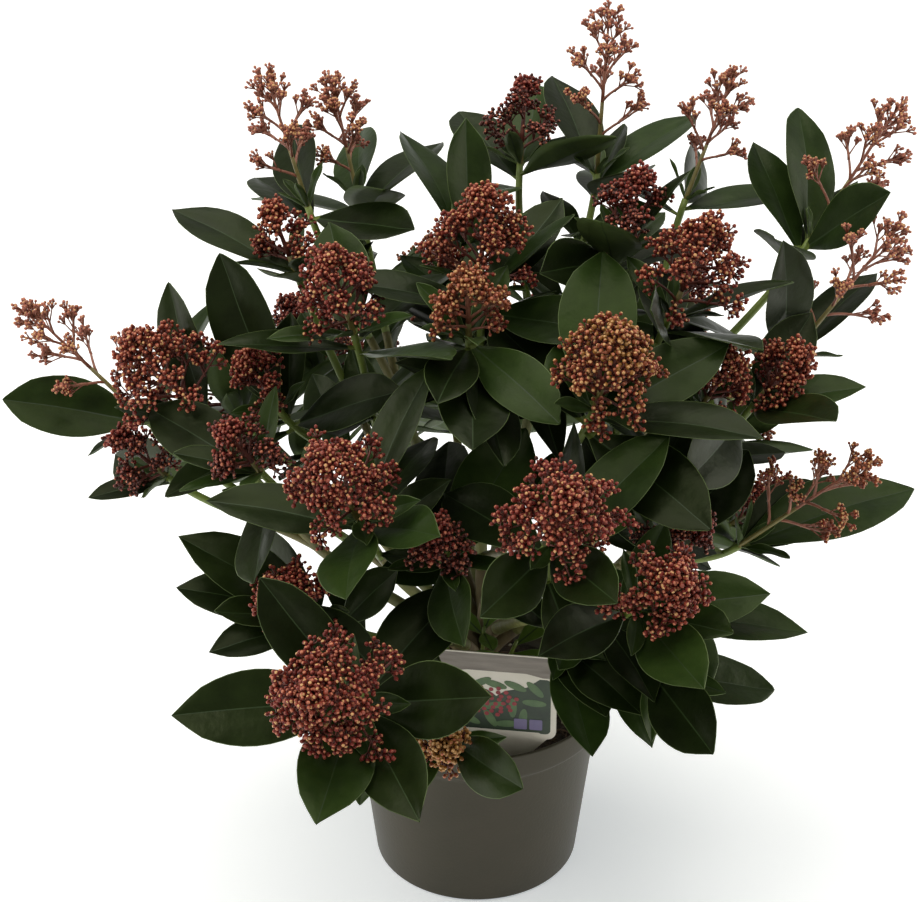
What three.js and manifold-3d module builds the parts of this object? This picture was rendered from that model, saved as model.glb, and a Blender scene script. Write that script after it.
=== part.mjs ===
// A potted skimmia: an evergreen shrub in bud, in a round plastic nursery pot.
//
// A short main stem stands on the compost and carries boughs. Each bough ends in one mass of
// foliage: twigs that fork from a common root, each with a rosette of leathery leaves and, above
// the rosette, a panicle of flower buds. Pot, compost and plant label complete the object.
//
// Millimetres, +Z up. The origin is the centre of the pot's flat underside, -Y is the front.
import * as THREE from "three";
import { mergeVertices } from "three/addons/utils/BufferGeometryUtils.js";
import Module from "manifold-3d";

const wasm = await Module();
wasm.setup();

// ---------------------------------------------------------------- driving dimensions
const GAP = 0.3; // clearance between neighbouring solids
const FUSE_TOLERANCE = 0.05;
const GRID = 0.002; // that vertices are rounded to

const POT = {
  height: 126,
  baseRadius: 66,
  bodyTopRadius: 78,
  collarRadius: 85,
  collarHeight: 22,
  collarStep: 5, // height of the sloping step under the collar
  wall: 1.6,
  floor: 2.4,
  footRound: 1.6, // chamfer between floor and side
  lipRound: 1.2,
  sides: 36,
  holes: 8,
  holeRadius: 6,
  holeRing: 44,
};

const COMPOST = { belowRim: 13, dip: 4, sides: 24 }; // dip is round its edge

const LABEL = {
  width: 74,
  height: 95, // from its foot in the compost to its top edge
  tongue: 42, // width of the foot
  tongueHeight: 20,
  shoulder: 32,
  thickness: 1.0,
  corner: 6,
  depth: 16, // of the foot in the compost
  x: 12,
  y: -62,
  lean: 3, // degrees, top away from the rim
  yaw: -8,
};

// The point, just above the compost, that every shoot points away from.
const CROWN_BASE = new THREE.Vector3(0, 0, 140);

// A viewer in front of the plant and above it. Shoots and leaf tips have their places in the
// viewer's frame: across from its left side and down from its top, in units of which `focus` is
// a length seen from as far away, with `middle` where the line of sight meets the target.
const VIEWER = {
  fall: 29.1, // degrees that the line of sight points down
  target: new THREE.Vector3(-10.4, 0, 295),
  distance: 1400,
  focus: 2302,
  middle: new THREE.Vector2(460.5, 451),
};

const STEM = {
  topZ: 176,
  lean: new THREE.Vector2(4, -3), // offset of the top from the foot
  footRadius: 11,
  radius: 7.5,
  topRadius: 5.2,
  flareHeight: 14,
  sides: 10,
};

const BOUGH = { rootRadius: 4.6, tipRadius: 3.3, share: 0.5, sides: 6, steps: 5 };

const TWIG = { rootRadius: 3.4, tipRadius: 2.6, rootLength: 14, sides: 3, steps: 4 };

const LEAF = {
  length: 88,
  slimness: 0.42, // width over length
  thickness: 0.015, // share of the length
  fold: 0.1, // depth of the valley along the midrib, share of the width
  arch: 0.1, // drop of the tip, share of the length
  spacing: 3.6, // along the twig, between one leaf and the next
  sunk: 1.0, // how far the root passes the twig's axis
  innerSplay: 42, // degrees from the twig's axis, youngest leaf
  outerSplay: 82, // oldest leaf
};

const GOLDEN_ANGLE = 137.5;
const STEEP = 0.02; // a shoot whose uphill side is smaller, squared, takes the back for uphill
const AIM_STEPS = 12; // of bringing a leaf's drooping tip to its place

// Panicles by kind: height over half-width, where the buds begin as a share of the height, and
// the side branches of the open kind.
const HEAD = {
  open: { tall: 3.1, foot: 0.28, branches: 5 },
  dome: { tall: 1.9, foot: 0.3, branches: 0 },
};
const HEAD_GAP = 5; // between the rounds of neighbouring heads
const RACHIS_RADIUS = 1.9;
const LOBE_SIDES = 4;
const DOME_SIDES = 8;

// A shoot: the place of its head's middle as [across, down, how much nearer than the target],
// the head's kind and half-width (0 for a shoot of leaves alone), the count of leaves set by the
// golden angle and where they start, clockwise round the twig from uphill, and then the leaves
// that have a place of their own. Those are [across, down, length, show]: the place of the tip,
// a length that is below zero where the tip points away from the viewer and 0 where the leaf
// lies square to the line of sight, and the share of its width that the viewer sees. upright is
// how far the shoot has turned from straight out to straight up.
const shoot = (at, kind, spread, leaves, firstLeaf, own = [], upright = 0.16) => ({
  at,
  kind,
  spread,
  leaves,
  firstLeaf,
  own,
  upright,
});

// Each bough with the shoots of its mass. from is its place on the main stem, 0 to 1, and lift
// raises its fork.
const BOUGHS = [
  { name: "front_left", from: 0.45, lift: 20, shoots: [
    shoot([327, 699, 215], "dome", 38, 0, 0, [
      [171, 707, -95, 1], [260, 576, -85, 0.95], [460, 578, -95, 0.95],
      [497, 697, 95, 1], [420, 823, 95, 1], [307, 825, 90, 1],
    ]),
    shoot([290, 600, 135], "dome", 28, 0, 0, [
      [175, 541, -85, 0.75], [175, 584, 0, 0.75], [237, 533, -85, 0.8],
      [207, 645, 60, 0.7], [214, 616, 62, 0.6],
    ]),
    shoot([447, 744, 150], "dome", 15, 0, 0, [[392, 742, -60, 0.7], [523, 790, 75, 0.9]]),
  ] },
  { name: "front_right", from: 0.62, lift: 8, shoots: [
    shoot([563, 514, 215], "dome", 34, 0, 0, [
      [580, 422, -80, 0.5], [452, 487, -95, 0.9], [676, 440, -90, 0.85],
      [483, 619, 75, 1], [618, 604, 80, 1],
    ]),
    shoot([663, 590, 190], "dome", 30, 0, 0, [
      [728, 632, 70, 0.6], [537, 647, 80, 0.9], [809, 634, -100, 0.65],
      [772, 604, 0, 0.9], [707, 693, 85, 1],
    ]),
    shoot([682, 527, 120], "dome", 22, 2, 200, [[648, 478, -75, 0.6], [765, 468, -95, 0.9]]),
    shoot([650, 668, 130], "dome", 0, 0, 0, [[773, 697, -85, 0.8], [718, 756, 85, 1]]),
    shoot([560, 640, 90], "dome", 0, 0, 0, [
      [602, 719, 70, 0.8], [592, 758, 80, 0.75], [641, 713, 75, 0.9],
    ]),
  ] },
  { name: "right_low", from: 0.4, shoots: [
    shoot([824, 490, 73], "open", 34, 2, 330, [[906, 504, -125, 0.75]]),
    shoot([784, 370, 76], "dome", 23, 2, 320, [[865, 383, 0, 0.55], [834, 424, 85, 0.6]]),
  ] },
  { name: "front_high", from: 0.86, shoots: [
    shoot([612, 360, 167], "dome", 33, 1, 190, [
      [497, 316, -100, 0.85], [712, 325, -90, 0.9], [763, 431, 100, 0.5],
      [600, 248, -100, 1],
    ]),
    shoot([438, 540, 141], "dome", 20, 1, 20, [[452, 415, -100, 0.8], [462, 646, 70, 0.8]]),
  ] },
  { name: "left_front", from: 0.55, shoots: [
    shoot([337, 482, 178], "dome", 34, 0, 0, [
      [470, 465, -100, 0.5], [222, 488, -85, 0.6], [207, 500, 0, 0.75],
      [443, 531, 70, 0.6], [340, 600, 85, 0.65], [429, 362, -90, 0.6],
    ]),
    shoot([238, 446, 105], "dome", 20, 2, 120, [[173, 452, 0, 0.55]]),
  ] },
  { name: "left", from: 0.35, shoots: [
    shoot([66, 345, 5], "open", 32, 1, 300, [[3, 396, -90, 0.9], [88, 457, 0, 0.2]]),
    shoot([157, 367, 61], "dome", 35, 1, 70, [[165, 283, -85, 0.7], [113, 412, 0, 0.6]]),
    shoot([136, 452, 20], "dome", 20, 1, 237, [[88, 497, 0, 0.7]]),
  ] },
  { name: "left_high", from: 0.78, shoots: [
    shoot([258, 377, 69], "dome", 21, 1, 180, [
      [400, 392, 85, 0.7], [291, 312, -62, 0.75], [226, 433, -80, 0.25],
      [217, 254, -100, 0.85],
    ]),
    shoot([338, 284, 111], "dome", 28, 2, 60, [[444, 267, -95, 0.55], [331, 224, -85, 1]]),
    shoot([280, 232, 44], "dome", 21, 2, 280, [[174, 207, -95, 0.65]]),
  ] },
  { name: "top_front", from: 0.97, shoots: [
    shoot([482, 229, 90], "dome", 36, 3, 125, [[578, 217, 0, 0.25]]),
    shoot([468, 299, 130], "dome", 25, 1, 167, [
      [508, 457, 85, 0.6], [418, 400, 75, 0.8], [560, 420, 80, 0.9],
    ]),
    shoot([468, 244, 45], "dome", 0, 1, 0, [[411, 128, -110, 0.55], [463, 118, -80, 0.85]]),
  ] },
  { name: "back_left_high", from: 0.8, shoots: [
    shoot([281, 122, 0], "open", 30, 2, 60, [
      [417, 234, 85, 0.6], [290, 122, -88, 0.85],
    ]),
    shoot([341, 122, -45], "open", 27, 2, 20, [[438, 140, -95, 0.6], [363, 124, -88, 0.7]]),
  ] },
  { name: "top", from: 0.95, shoots: [
    shoot([605, 68, 3], "open", 36, 2, 20, [
      [628, 122, -62, 0.6], [697, 101, -95, 0.7], [551, 73, -98, 0.75],
    ], 3),
    shoot([524, 112, -35], "dome", 28, 3, 10, [[545, 87, -85, 0.9]]),
    shoot([634, 205, 60], "dome", 26, 3, 0, [[560, 270, 85, 0.75], [690, 169, 0, 0.35]]),
  ] },
  { name: "right_high", from: 0.7, shoots: [
    shoot([868, 152, -3], "open", 32, 1, 317, [
      [859, 183, -75, 0.7], [752, 143, -85, 0.65], [892, 190, 85, 0.75],
      [807, 108, -100, 0.7],
    ]),
    shoot([717, 118, -27], "open", 27, 2, 60, [[700, 147, -80, 0.75]]),
    shoot([862, 270, 36], "open", 34, 1, 337, [[790, 240, 90, 0.7], [878, 269, -90, 0.7]]),
  ] },
  { name: "right_front", from: 0.74, shoots: [
    shoot([697, 258, 101], "dome", 35, 3, 300, [[640, 330, 85, 0.85], [794, 281, 0, 0.3]]),
    shoot([722, 377, 102], "dome", 20, 2, 250, [[697, 432, 70, 0.6], [665, 330, -80, 0.7]]),
  ] },
  { name: "back_left", from: 0.5, shoots: [
    shoot([205, 372, -76], "dome", 30, 6, 50),
    shoot([300, 330, -108], "dome", 28, 5, 30),
    shoot([244, 405, -150], "dome", 22, 6, 60),
  ] },
  { name: "back", from: 0.6, shoots: [
    shoot([439, 275, -157], "dome", 34, 7, 60),
    shoot([353, 338, -195], "dome", 30, 7, 225),
    shoot([544, 318, -205], "dome", 24, 7, 100),
  ] },
  { name: "back_right", from: 0.48, shoots: [
    shoot([672, 285, -142], "dome", 34, 7, 30),
    shoot([745, 400, -130], "dome", 30, 7, 200),
    shoot([765, 500, -80], "dome", 22, 6, 40),
  ] },
];

const COLOURS = {
  pot: 0x59554c,
  compost: 0x2c2018,
  label: 0xd8d4c8,
  stem: 0x5e5433,
  bough: 0x6a7034,
  foliage: 0x2c4024,
};

// ---------------------------------------------------------------- small tools
const UP = new THREE.Vector3(0, 0, 1);
const radians = THREE.MathUtils.degToRad;
const mix = THREE.MathUtils.lerp;
const along = (from, direction, distance) => from.clone().addScaledVector(direction, distance);

// Seeded random numbers from 0 to 1, the same on every run.
function seeded(seed) {
  let state = seed >>> 0;
  return () => {
    state = (state + 0x6d2b79f5) >>> 0;
    let t = Math.imul(state ^ (state >>> 15), 1 | state);
    t = (t + Math.imul(t ^ (t >>> 7), 61 | t)) ^ t;
    return ((t ^ (t >>> 14)) >>> 0) / 4294967296;
  };
}

function solidFrom(geometry) {
  const bare = geometry.index ? geometry.toNonIndexed() : geometry.clone();
  bare.deleteAttribute("normal");
  bare.deleteAttribute("uv");
  const merged = mergeVertices(bare, 1e-3);
  return new wasm.Manifold(
    new wasm.Mesh({
      numProp: 3,
      vertProperties: merged.attributes.position.array,
      triVerts: new Uint32Array(merged.index.array),
    }),
  );
}

// The solid's faces with each vertex on a fine grid; faces that close up there are left out.
function geometryFrom(solid) {
  const mesh = solid.getMesh();
  const onGrid = (value) => Math.round(value / GRID) * GRID;
  const bare = new THREE.BufferGeometry();
  const positions = new Float32Array(mesh.numVert * 3);
  for (let i = 0; i < mesh.numVert; i++) {
    const vertex = mesh.vertProperties.subarray(i * mesh.numProp, i * mesh.numProp + 3);
    positions.set(vertex.map(onGrid), i * 3);
  }
  bare.setAttribute("position", new THREE.BufferAttribute(positions, 3));
  bare.setIndex(new THREE.BufferAttribute(mesh.triVerts, 1));
  const geometry = mergeVertices(bare, GRID);
  const corners = geometry.index.array;
  const faces = [];
  for (let i = 0; i < corners.length; i += 3) {
    const [a, b, c] = corners.subarray(i, i + 3);
    if (a !== b && b !== c && c !== a) faces.push(a, b, c);
  }
  geometry.setIndex(faces);
  geometry.computeVertexNormals();
  return geometry;
}

function geometryOf(points, faces) {
  const geometry = new THREE.BufferGeometry();
  geometry.setAttribute(
    "position",
    new THREE.Float32BufferAttribute(points.flatMap((p) => [p.x, p.y, p.z]), 3),
  );
  geometry.setIndex(faces.flat());
  return geometry;
}

// A tapering limb along a curve. radiusAt gives the radius from 0, its foot, to 1, its tip, and
// swell is added all round and at both ends.
function limbGeometry(curve, radiusAt, sides, steps, swell = 0) {
  const frames = curve.computeFrenetFrames(steps, false);
  const points = [];
  const faces = [];
  for (let i = 0; i <= steps; i++) {
    const end = i === 0 ? -swell : i === steps ? swell : 0;
    const centre = along(curve.getPointAt(i / steps), frames.tangents[i], end);
    for (let j = 0; j < sides; j++) {
      const angle = (j / sides) * 2 * Math.PI;
      const radius = radiusAt(i / steps) + swell;
      points.push(
        along(centre, frames.normals[i], Math.cos(angle) * radius).addScaledVector(
          frames.binormals[i],
          Math.sin(angle) * radius,
        ),
      );
    }
  }
  for (let i = 0; i < steps; i++) {
    for (let j = 0; j < sides; j++) {
      const a = i * sides + j;
      const b = i * sides + ((j + 1) % sides);
      faces.push([a, b, b + sides], [a, b + sides, a + sides]);
    }
  }
  const last = steps * sides;
  for (let j = 1; j < sides - 1; j++) {
    faces.push([0, j + 1, j], [last, last + j, last + j + 1]);
  }
  return geometryOf(points, faces);
}

// ---------------------------------------------------------------- pot, compost and label
const slope = (POT.bodyTopRadius - POT.baseRadius) / (POT.height - POT.collarHeight);
const collarFoot = POT.height - POT.collarHeight;
const bodyRadius = (z) => POT.baseRadius + slope * z;

function potSolid() {
  const { wall, floor, height, collarRadius, lipRound, footRound } = POT;
  const lip = height - lipRound;
  const profile = [
    [0, 0],
    [POT.baseRadius - footRound, 0],
    [bodyRadius(footRound), footRound],
    [bodyRadius(collarFoot), collarFoot],
    [collarRadius - 1, collarFoot + POT.collarStep],
    [collarRadius, lip],
    [collarRadius - lipRound, height],
    [collarRadius - wall - lipRound, height],
    [collarRadius - wall - 1.5, lip],
    [collarRadius - wall - 2.5, collarFoot + POT.collarStep],
    [bodyRadius(collarFoot) - wall, collarFoot],
    [bodyRadius(footRound) - wall, footRound + floor],
    [POT.baseRadius - footRound - wall, floor],
    [0, floor],
  ].map(([r, z]) => new THREE.Vector2(r, z));
  const shell = solidFrom(new THREE.LatheGeometry(profile, POT.sides).rotateX(Math.PI / 2));
  const holes = [];
  for (let i = 0; i < POT.holes; i++) {
    const angle = ((i + 0.5) / POT.holes) * 2 * Math.PI;
    const drill = new THREE.CylinderGeometry(POT.holeRadius, POT.holeRadius, floor * 4, 10);
    drill.rotateX(Math.PI / 2);
    drill.translate(Math.cos(angle) * POT.holeRing, Math.sin(angle) * POT.holeRing, 0);
    holes.push(solidFrom(drill));
  }
  return shell.subtract(wasm.Manifold.union(holes));
}

const compostTop = POT.height - COMPOST.belowRim;

function compostSolid() {
  const inner = (z) => bodyRadius(z) - POT.wall - GAP;
  const foot = POT.floor + GAP;
  const profile = [
    [0, foot],
    [POT.baseRadius - POT.footRound - POT.wall - 2 * GAP, foot],
    [inner(POT.footRound + POT.floor) - GAP, POT.footRound + foot],
    [inner(collarFoot) - GAP, collarFoot],
    [inner(collarFoot) - GAP, compostTop - COMPOST.dip],
    [POT.baseRadius, compostTop],
    [0, compostTop],
  ].map(([r, z]) => new THREE.Vector2(r, z));
  return solidFrom(new THREE.LatheGeometry(profile, COMPOST.sides).rotateX(Math.PI / 2));
}

const labelFoot = compostTop - LABEL.depth;

const placeLabel = (geometry) =>
  geometry
    .rotateX(radians(90 + LABEL.lean))
    .rotateZ(radians(LABEL.yaw))
    .translate(LABEL.x, LABEL.y, labelFoot);

// A card with rounded corners whose tongue stands in the compost behind the rim.
function labelSolid() {
  const { width, height, tongue, tongueHeight, shoulder, corner, thickness } = LABEL;
  const half = width / 2;
  const card = new THREE.Shape();
  card.moveTo(-tongue / 2, 0);
  card.lineTo(tongue / 2, 0);
  card.lineTo(tongue / 2, tongueHeight);
  card.lineTo(half, shoulder);
  card.lineTo(half, height - corner);
  card.absarc(half - corner, height - corner, corner, 0, Math.PI / 2, false);
  card.absarc(corner - half, height - corner, corner, Math.PI / 2, Math.PI, false);
  card.lineTo(-half, shoulder);
  card.lineTo(-tongue / 2, tongueHeight);
  const geometry = new THREE.ExtrudeGeometry(card, {
    depth: thickness,
    bevelEnabled: false,
    curveSegments: 4,
  });
  return solidFrom(placeLabel(geometry.translate(0, 0, -thickness / 2)));
}

// The slot that the tongue stands in, open upward.
function labelSlot() {
  const { tongue, thickness, depth } = LABEL;
  const slot = new THREE.BoxGeometry(tongue + 2 * GAP, depth * 2, thickness + 2 * GAP);
  return solidFrom(placeLabel(slot.translate(0, depth - GAP, 0)));
}

// ---------------------------------------------------------------- stem and boughs
const stemCurve = new THREE.CubicBezierCurve3(
  new THREE.Vector3(0, 0, compostTop + GAP),
  new THREE.Vector3(0, 0, mix(compostTop, STEM.topZ, 0.35)),
  new THREE.Vector3(STEM.lean.x * 0.6, STEM.lean.y * 0.6, mix(compostTop, STEM.topZ, 0.7)),
  new THREE.Vector3(STEM.lean.x, STEM.lean.y, STEM.topZ),
);

function stemGeometry(swell) {
  const flare = STEM.flareHeight / (STEM.topZ - compostTop);
  const radiusAt = (t) =>
    mix(STEM.radius, STEM.topRadius, t) +
    (STEM.footRadius - STEM.radius) * Math.max(0, 1 - t / flare) ** 2;
  return limbGeometry(stemCurve, radiusAt, STEM.sides, 8, swell);
}

const fall = radians(VIEWER.fall);
const sight = new THREE.Vector3(0, Math.cos(fall), -Math.sin(fall));
const sightUp = new THREE.Vector3(0, Math.sin(fall), Math.cos(fall));
const eye = along(VIEWER.target, sight, -VIEWER.distance);

// The way from the eye to a place in its frame, 1 long along the line of sight.
function ray(across, down) {
  const { middle, focus } = VIEWER;
  const way = along(sight, sightUp, (middle.y - down) / focus);
  way.x += (across - middle.x) / focus;
  return way;
}

// Works out which way a shoot points.
function placeShoot(row) {
  const [across, down, nearer] = row.at;
  const middle = along(eye, ray(across, down), VIEWER.distance - nearer);
  const axis = middle.clone().sub(CROWN_BASE).normalize();
  axis.addScaledVector(UP, row.upright).normalize();
  const uphill = UP.clone().addScaledVector(axis, -UP.dot(axis));
  if (uphill.lengthSq() < STEEP) uphill.set(0, 1, 0).addScaledVector(axis, -axis.y);
  uphill.normalize();
  const sideways = uphill.clone().cross(axis);
  return { ...row, axis, uphill, sideways, middle };
}

// Neighbouring heads share the room between them, so that their sides stay clear.
function fitHeads(shoots) {
  for (const a of shoots) {
    a.room = a.spread;
    for (const b of shoots) {
      if (a === b || b.spread === 0) continue;
      const share = a.spread / (a.spread + b.spread);
      a.room = Math.min(a.room, (a.middle.distanceTo(b.middle) - HEAD_GAP) * share);
    }
  }
  for (const a of shoots) {
    a.rachis = a.room * HEAD[a.kind].tall;
    a.rosette = along(a.middle, a.axis, -a.rachis * (0.5 + HEAD[a.kind].foot / 2));
  }
}

// A direction square to the shoot's axis, clockwise from uphill.
const around = (place, angle) =>
  place.uphill
    .clone()
    .multiplyScalar(Math.cos(radians(angle)))
    .addScaledVector(place.sideways, Math.sin(radians(angle)));

function planMass(row) {
  const { shoots } = row;
  const centre = new THREE.Vector3();
  const axis = new THREE.Vector3();
  for (const s of shoots) {
    centre.addScaledVector(s.rosette, 1 / shoots.length);
    axis.add(s.axis);
  }
  axis.normalize();
  const start = stemCurve.getPointAt(row.from);
  const fork = start.clone().lerp(centre, BOUGH.share);
  fork.z += row.lift ?? 0;
  const heading = centre.clone().sub(fork).normalize().lerp(axis, 0.3).normalize();
  const length = start.distanceTo(fork);
  const outward = centre.clone().sub(start).normalize().lerp(UP, 0.4).normalize();
  const curve = new THREE.CubicBezierCurve3(
    start,
    along(start, outward, length * 0.35),
    along(fork, heading, -length * 0.35),
    fork,
  );
  return { ...row, curve, fork, heading };
}

const boughGeometry = (mass, swell) =>
  limbGeometry(
    mass.curve,
    (t) => mix(BOUGH.rootRadius, BOUGH.tipRadius, t),
    BOUGH.sides,
    BOUGH.steps,
    swell,
  );

// ---------------------------------------------------------------- twigs, leaves and panicles
function twigCurve(mass, place) {
  const order = mass.shoots.indexOf(place);
  const root = along(mass.fork, mass.heading, TWIG.rootLength * mix(0.5, 0.8, order / 3));
  const reach = root.distanceTo(place.rosette);
  const outward = place.rosette.clone().sub(root).normalize().lerp(mass.heading, 0.5).normalize();
  return new THREE.CubicBezierCurve3(
    root,
    along(root, outward, reach * 0.3),
    along(place.rosette, place.axis, -reach * 0.35),
    place.rosette,
  );
}

// A leaf of twelve faces: a root, two points down each side, a tip, and a valley between.
function leafGeometry(root, direction, face, length, width) {
  const across = direction.clone().cross(face);
  const thickness = length * LEAF.thickness;
  const at = (share, side, lift) =>
    along(root, direction, length * share)
      .addScaledVector(across, width * side)
      .addScaledVector(face, lift);
  const fold = LEAF.fold * width;
  const drop = -LEAF.arch * length;
  const outline = [
    at(0, 0, 0),
    at(0.38, 0.42, 0),
    at(0.76, 0.4, drop * 0.35),
    at(1, 0, drop),
    at(0.76, -0.4, drop * 0.35),
    at(0.38, -0.42, 0),
  ];
  const top = outline.length;
  const points = [...outline, at(0.4, 0, thickness - fold), at(0.4, 0, -thickness - fold)];
  const faces = outline.flatMap((_, i) => {
    const next = (i + 1) % outline.length;
    return [
      [top, i, next],
      [top + 1, next, i],
    ];
  });
  return geometryOf(points, faces);
}

// The face a leaf has by nature: toward the tip of its shoot.
const naturalFace = (place, direction) =>
  along(place.axis, direction, -place.axis.dot(direction)).normalize();

// A leaf of the rule: turn is clockwise round the twig from uphill and roll is about the midrib.
function ruledLeaf(place, turn, splay, length, roll) {
  const direction = place.axis
    .clone()
    .multiplyScalar(Math.cos(radians(splay)))
    .addScaledVector(around(place, turn), Math.sin(radians(splay)));
  const face = naturalFace(place, direction).applyAxisAngle(direction, -radians(roll));
  return { direction, face, length };
}

// The leaf from a root whose tip, after its drop, is seen at its own place. Its face is turned
// from the viewer to the side that is nearer the shoot's tip.
function aimedLeaf(place, root, [across, down, length, show]) {
  const way = ray(across, down);
  const tilt = Math.acos(show);
  const drop = new THREE.Vector3();
  let side = 0;
  let leaf = null;
  for (let i = 0; i < AIM_STEPS; i++) {
    const start = eye.clone().add(drop).sub(root);
    const square = -start.dot(way) / way.lengthSq();
    const shortest = along(start, way, square).length();
    const reach = Math.max(Math.abs(length), shortest);
    const slant = Math.sqrt((reach ** 2 - shortest ** 2) / way.lengthSq());
    const direction = along(start, way, square - Math.sign(length) * slant).normalize();
    const toEye = eye.clone().sub(root);
    const broad = toEye.addScaledVector(direction, -toEye.dot(direction)).normalize();
    const edge = direction.clone().cross(broad);
    if (side === 0) side = edge.dot(place.axis) < 0 ? -1 : 1;
    const face = broad.multiplyScalar(Math.cos(tilt)).addScaledVector(edge, Math.sin(tilt) * side);
    drop.lerp(face.clone().multiplyScalar(LEAF.arch * reach), 0.5);
    leaf = { direction, face, length: reach };
  }
  return leaf;
}

// Every leaf of a shoot, oldest first: those of the rule below those with a place of their own.
function planLeaves(place, random) {
  const count = place.leaves + place.own.length;
  const rootOf = (k) => {
    const back = (count - k) * LEAF.spacing;
    return place.twig.getPointAt(1 - back / place.twig.getLength());
  };
  const leaves = [];
  for (let k = 0; k < place.leaves; k++) {
    const youth = k / place.leaves;
    const turn = place.firstLeaf + GOLDEN_ANGLE * k + (random() - 0.5) * 16;
    const splay = mix(LEAF.outerSplay, LEAF.innerSplay, youth) + (random() - 0.5) * 14;
    const length = LEAF.length * mix(1.06, 0.88, youth) * mix(0.9, 1.1, random());
    leaves.push(ruledLeaf(place, turn, splay, length, (random() - 0.5) * 40));
  }
  for (const row of place.own) leaves.push(aimedLeaf(place, rootOf(leaves.length), row));
  return leaves.map((leaf, k) => ({
    ...leaf,
    root: rootOf(k),
    width: leaf.length * LEAF.slimness * mix(0.93, 1.07, random()),
  }));
}

// The leaf swung round its twig and then bent away from the twig's tip, by these degrees.
function leafSolid(place, leaf, [swing, bend]) {
  const direction = leaf.direction.clone().applyAxisAngle(place.axis, -radians(swing));
  const face = leaf.face.clone().applyAxisAngle(place.axis, -radians(swing));
  const hinge = place.axis.clone().cross(direction).normalize();
  direction.applyAxisAngle(hinge, radians(bend));
  face.applyAxisAngle(hinge, radians(bend));
  const root = along(leaf.root, direction, -LEAF.sunk);
  return solidFrom(leafGeometry(root, direction, face, leaf.length + LEAF.sunk, leaf.width));
}

// A side branch of the panicle with its buds: a top that stands on its point.
function lobeGeometry(root, direction, length, radius) {
  const helper = Math.abs(direction.z) < 0.9 ? UP : new THREE.Vector3(1, 0, 0);
  const u = direction.clone().cross(helper).normalize();
  const v = direction.clone().cross(u);
  const points = [root.clone(), along(root, direction, length)];
  const faces = [];
  for (let j = 0; j < LOBE_SIDES; j++) {
    const angle = (j / LOBE_SIDES) * 2 * Math.PI;
    const next = (j + 1) % LOBE_SIDES;
    points.push(
      along(root, direction, length - radius * 0.6)
        .addScaledVector(u, Math.cos(angle) * radius)
        .addScaledVector(v, Math.sin(angle) * radius),
    );
    faces.push([0, next + 2, j + 2], [1, j + 2, next + 2]);
  }
  return geometryOf(points, faces);
}

// The crowded top of a panicle: a dome that swells where its side branches end.
function domeGeometry(place, random) {
  const foot = place.rachis * HEAD.dome.foot;
  const height = place.rachis - foot;
  const rings = [0.3, 0.62, 0.88];
  const widths = [0.72, 1, 0.68];
  const points = [along(place.rosette, place.axis, foot)];
  const faces = [];
  for (const [r, share] of rings.entries()) {
    for (let j = 0; j < DOME_SIDES; j++) {
      const swell = (j + r) % 2 ? 0.84 : 1.04;
      const radius = place.room * widths[r] * swell * mix(0.94, 1.06, random());
      const out = around(place, place.firstLeaf + ((j + r * 0.5) / DOME_SIDES) * 360);
      points.push(
        along(place.rosette, place.axis, foot + height * share).addScaledVector(out, radius),
      );
    }
  }
  const tip = points.length;
  points.push(along(place.rosette, place.axis, foot + height));
  const last = 1 + (rings.length - 1) * DOME_SIDES;
  for (let j = 0; j < DOME_SIDES; j++) {
    const next = (j + 1) % DOME_SIDES;
    faces.push([0, 1 + j, 1 + next], [last + j, tip, last + next]);
    for (let low = 1; low < last; low += DOME_SIDES) {
      const high = low + DOME_SIDES;
      faces.push([low + j, high + j, high + next], [low + j, high + next, low + next]);
    }
  }
  return geometryOf(points, faces);
}

// The panicle's rachis and its buds.
function planHead(place, random) {
  const tip = along(place.rosette, place.axis, place.rachis * 0.9);
  const rachis = limbGeometry(
    new THREE.LineCurve3(along(place.rosette, place.axis, -4), tip),
    (t) => mix(RACHIS_RADIUS, RACHIS_RADIUS * 0.6, t),
    3,
    1,
  );
  if (place.kind === "dome") {
    return { rachis: solidFrom(rachis), lobes: [solidFrom(domeGeometry(place, random))] };
  }
  const lobes = [];
  const { branches, foot } = HEAD.open;
  const lobe = place.room * 0.32;
  for (let i = 0; i < branches; i++) {
    const height = i / (branches - 1);
    const out = around(place, place.firstLeaf + 60 + GOLDEN_ANGLE * i + (random() - 0.5) * 20);
    const splay = radians(mix(64, 34, height) + (random() - 0.5) * 10);
    const direction = place.axis
      .clone()
      .multiplyScalar(Math.cos(splay))
      .addScaledVector(out, Math.sin(splay));
    const root = along(place.rosette, place.axis, place.rachis * mix(foot, 0.8, height));
    const length = place.room * mix(1, 0.7, height) * mix(0.95, 1.1, random());
    lobes.push(lobeGeometry(root, direction, length, lobe));
  }
  const root = along(place.rosette, place.axis, place.rachis * 0.8);
  lobes.push(lobeGeometry(root, place.axis, place.rachis * 0.2, lobe));
  return { rachis: solidFrom(rachis), lobes: lobes.map(solidFrom) };
}

// ---------------------------------------------------------------- the whole plant
const rows = BOUGHS.map((row) => ({ ...row, shoots: row.shoots.map(placeShoot) }));
fitHeads(rows.flatMap((row) => row.shoots));
const masses = rows.map(planMass);
const stem = solidFrom(stemGeometry(0));
const pot = potSolid();
const compost = compostSolid().subtract(labelSlot());
const label = labelSolid();

// Fusing can seal a hollow or leave a scrap loose: the biggest shell alone is the solid piece.
const biggestPiece = (solid) =>
  solid.decompose().reduce((best, piece) => (piece.volume() > best.volume() ? piece : best));

// Joins the pieces of a mass and lets slivers under the tolerance go.
function fuse(pieces) {
  const joined = biggestPiece(wasm.Manifold.union(pieces).setTolerance(FUSE_TOLERANCE));
  return biggestPiece(solidFrom(geometryFrom(joined)));
}

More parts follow.
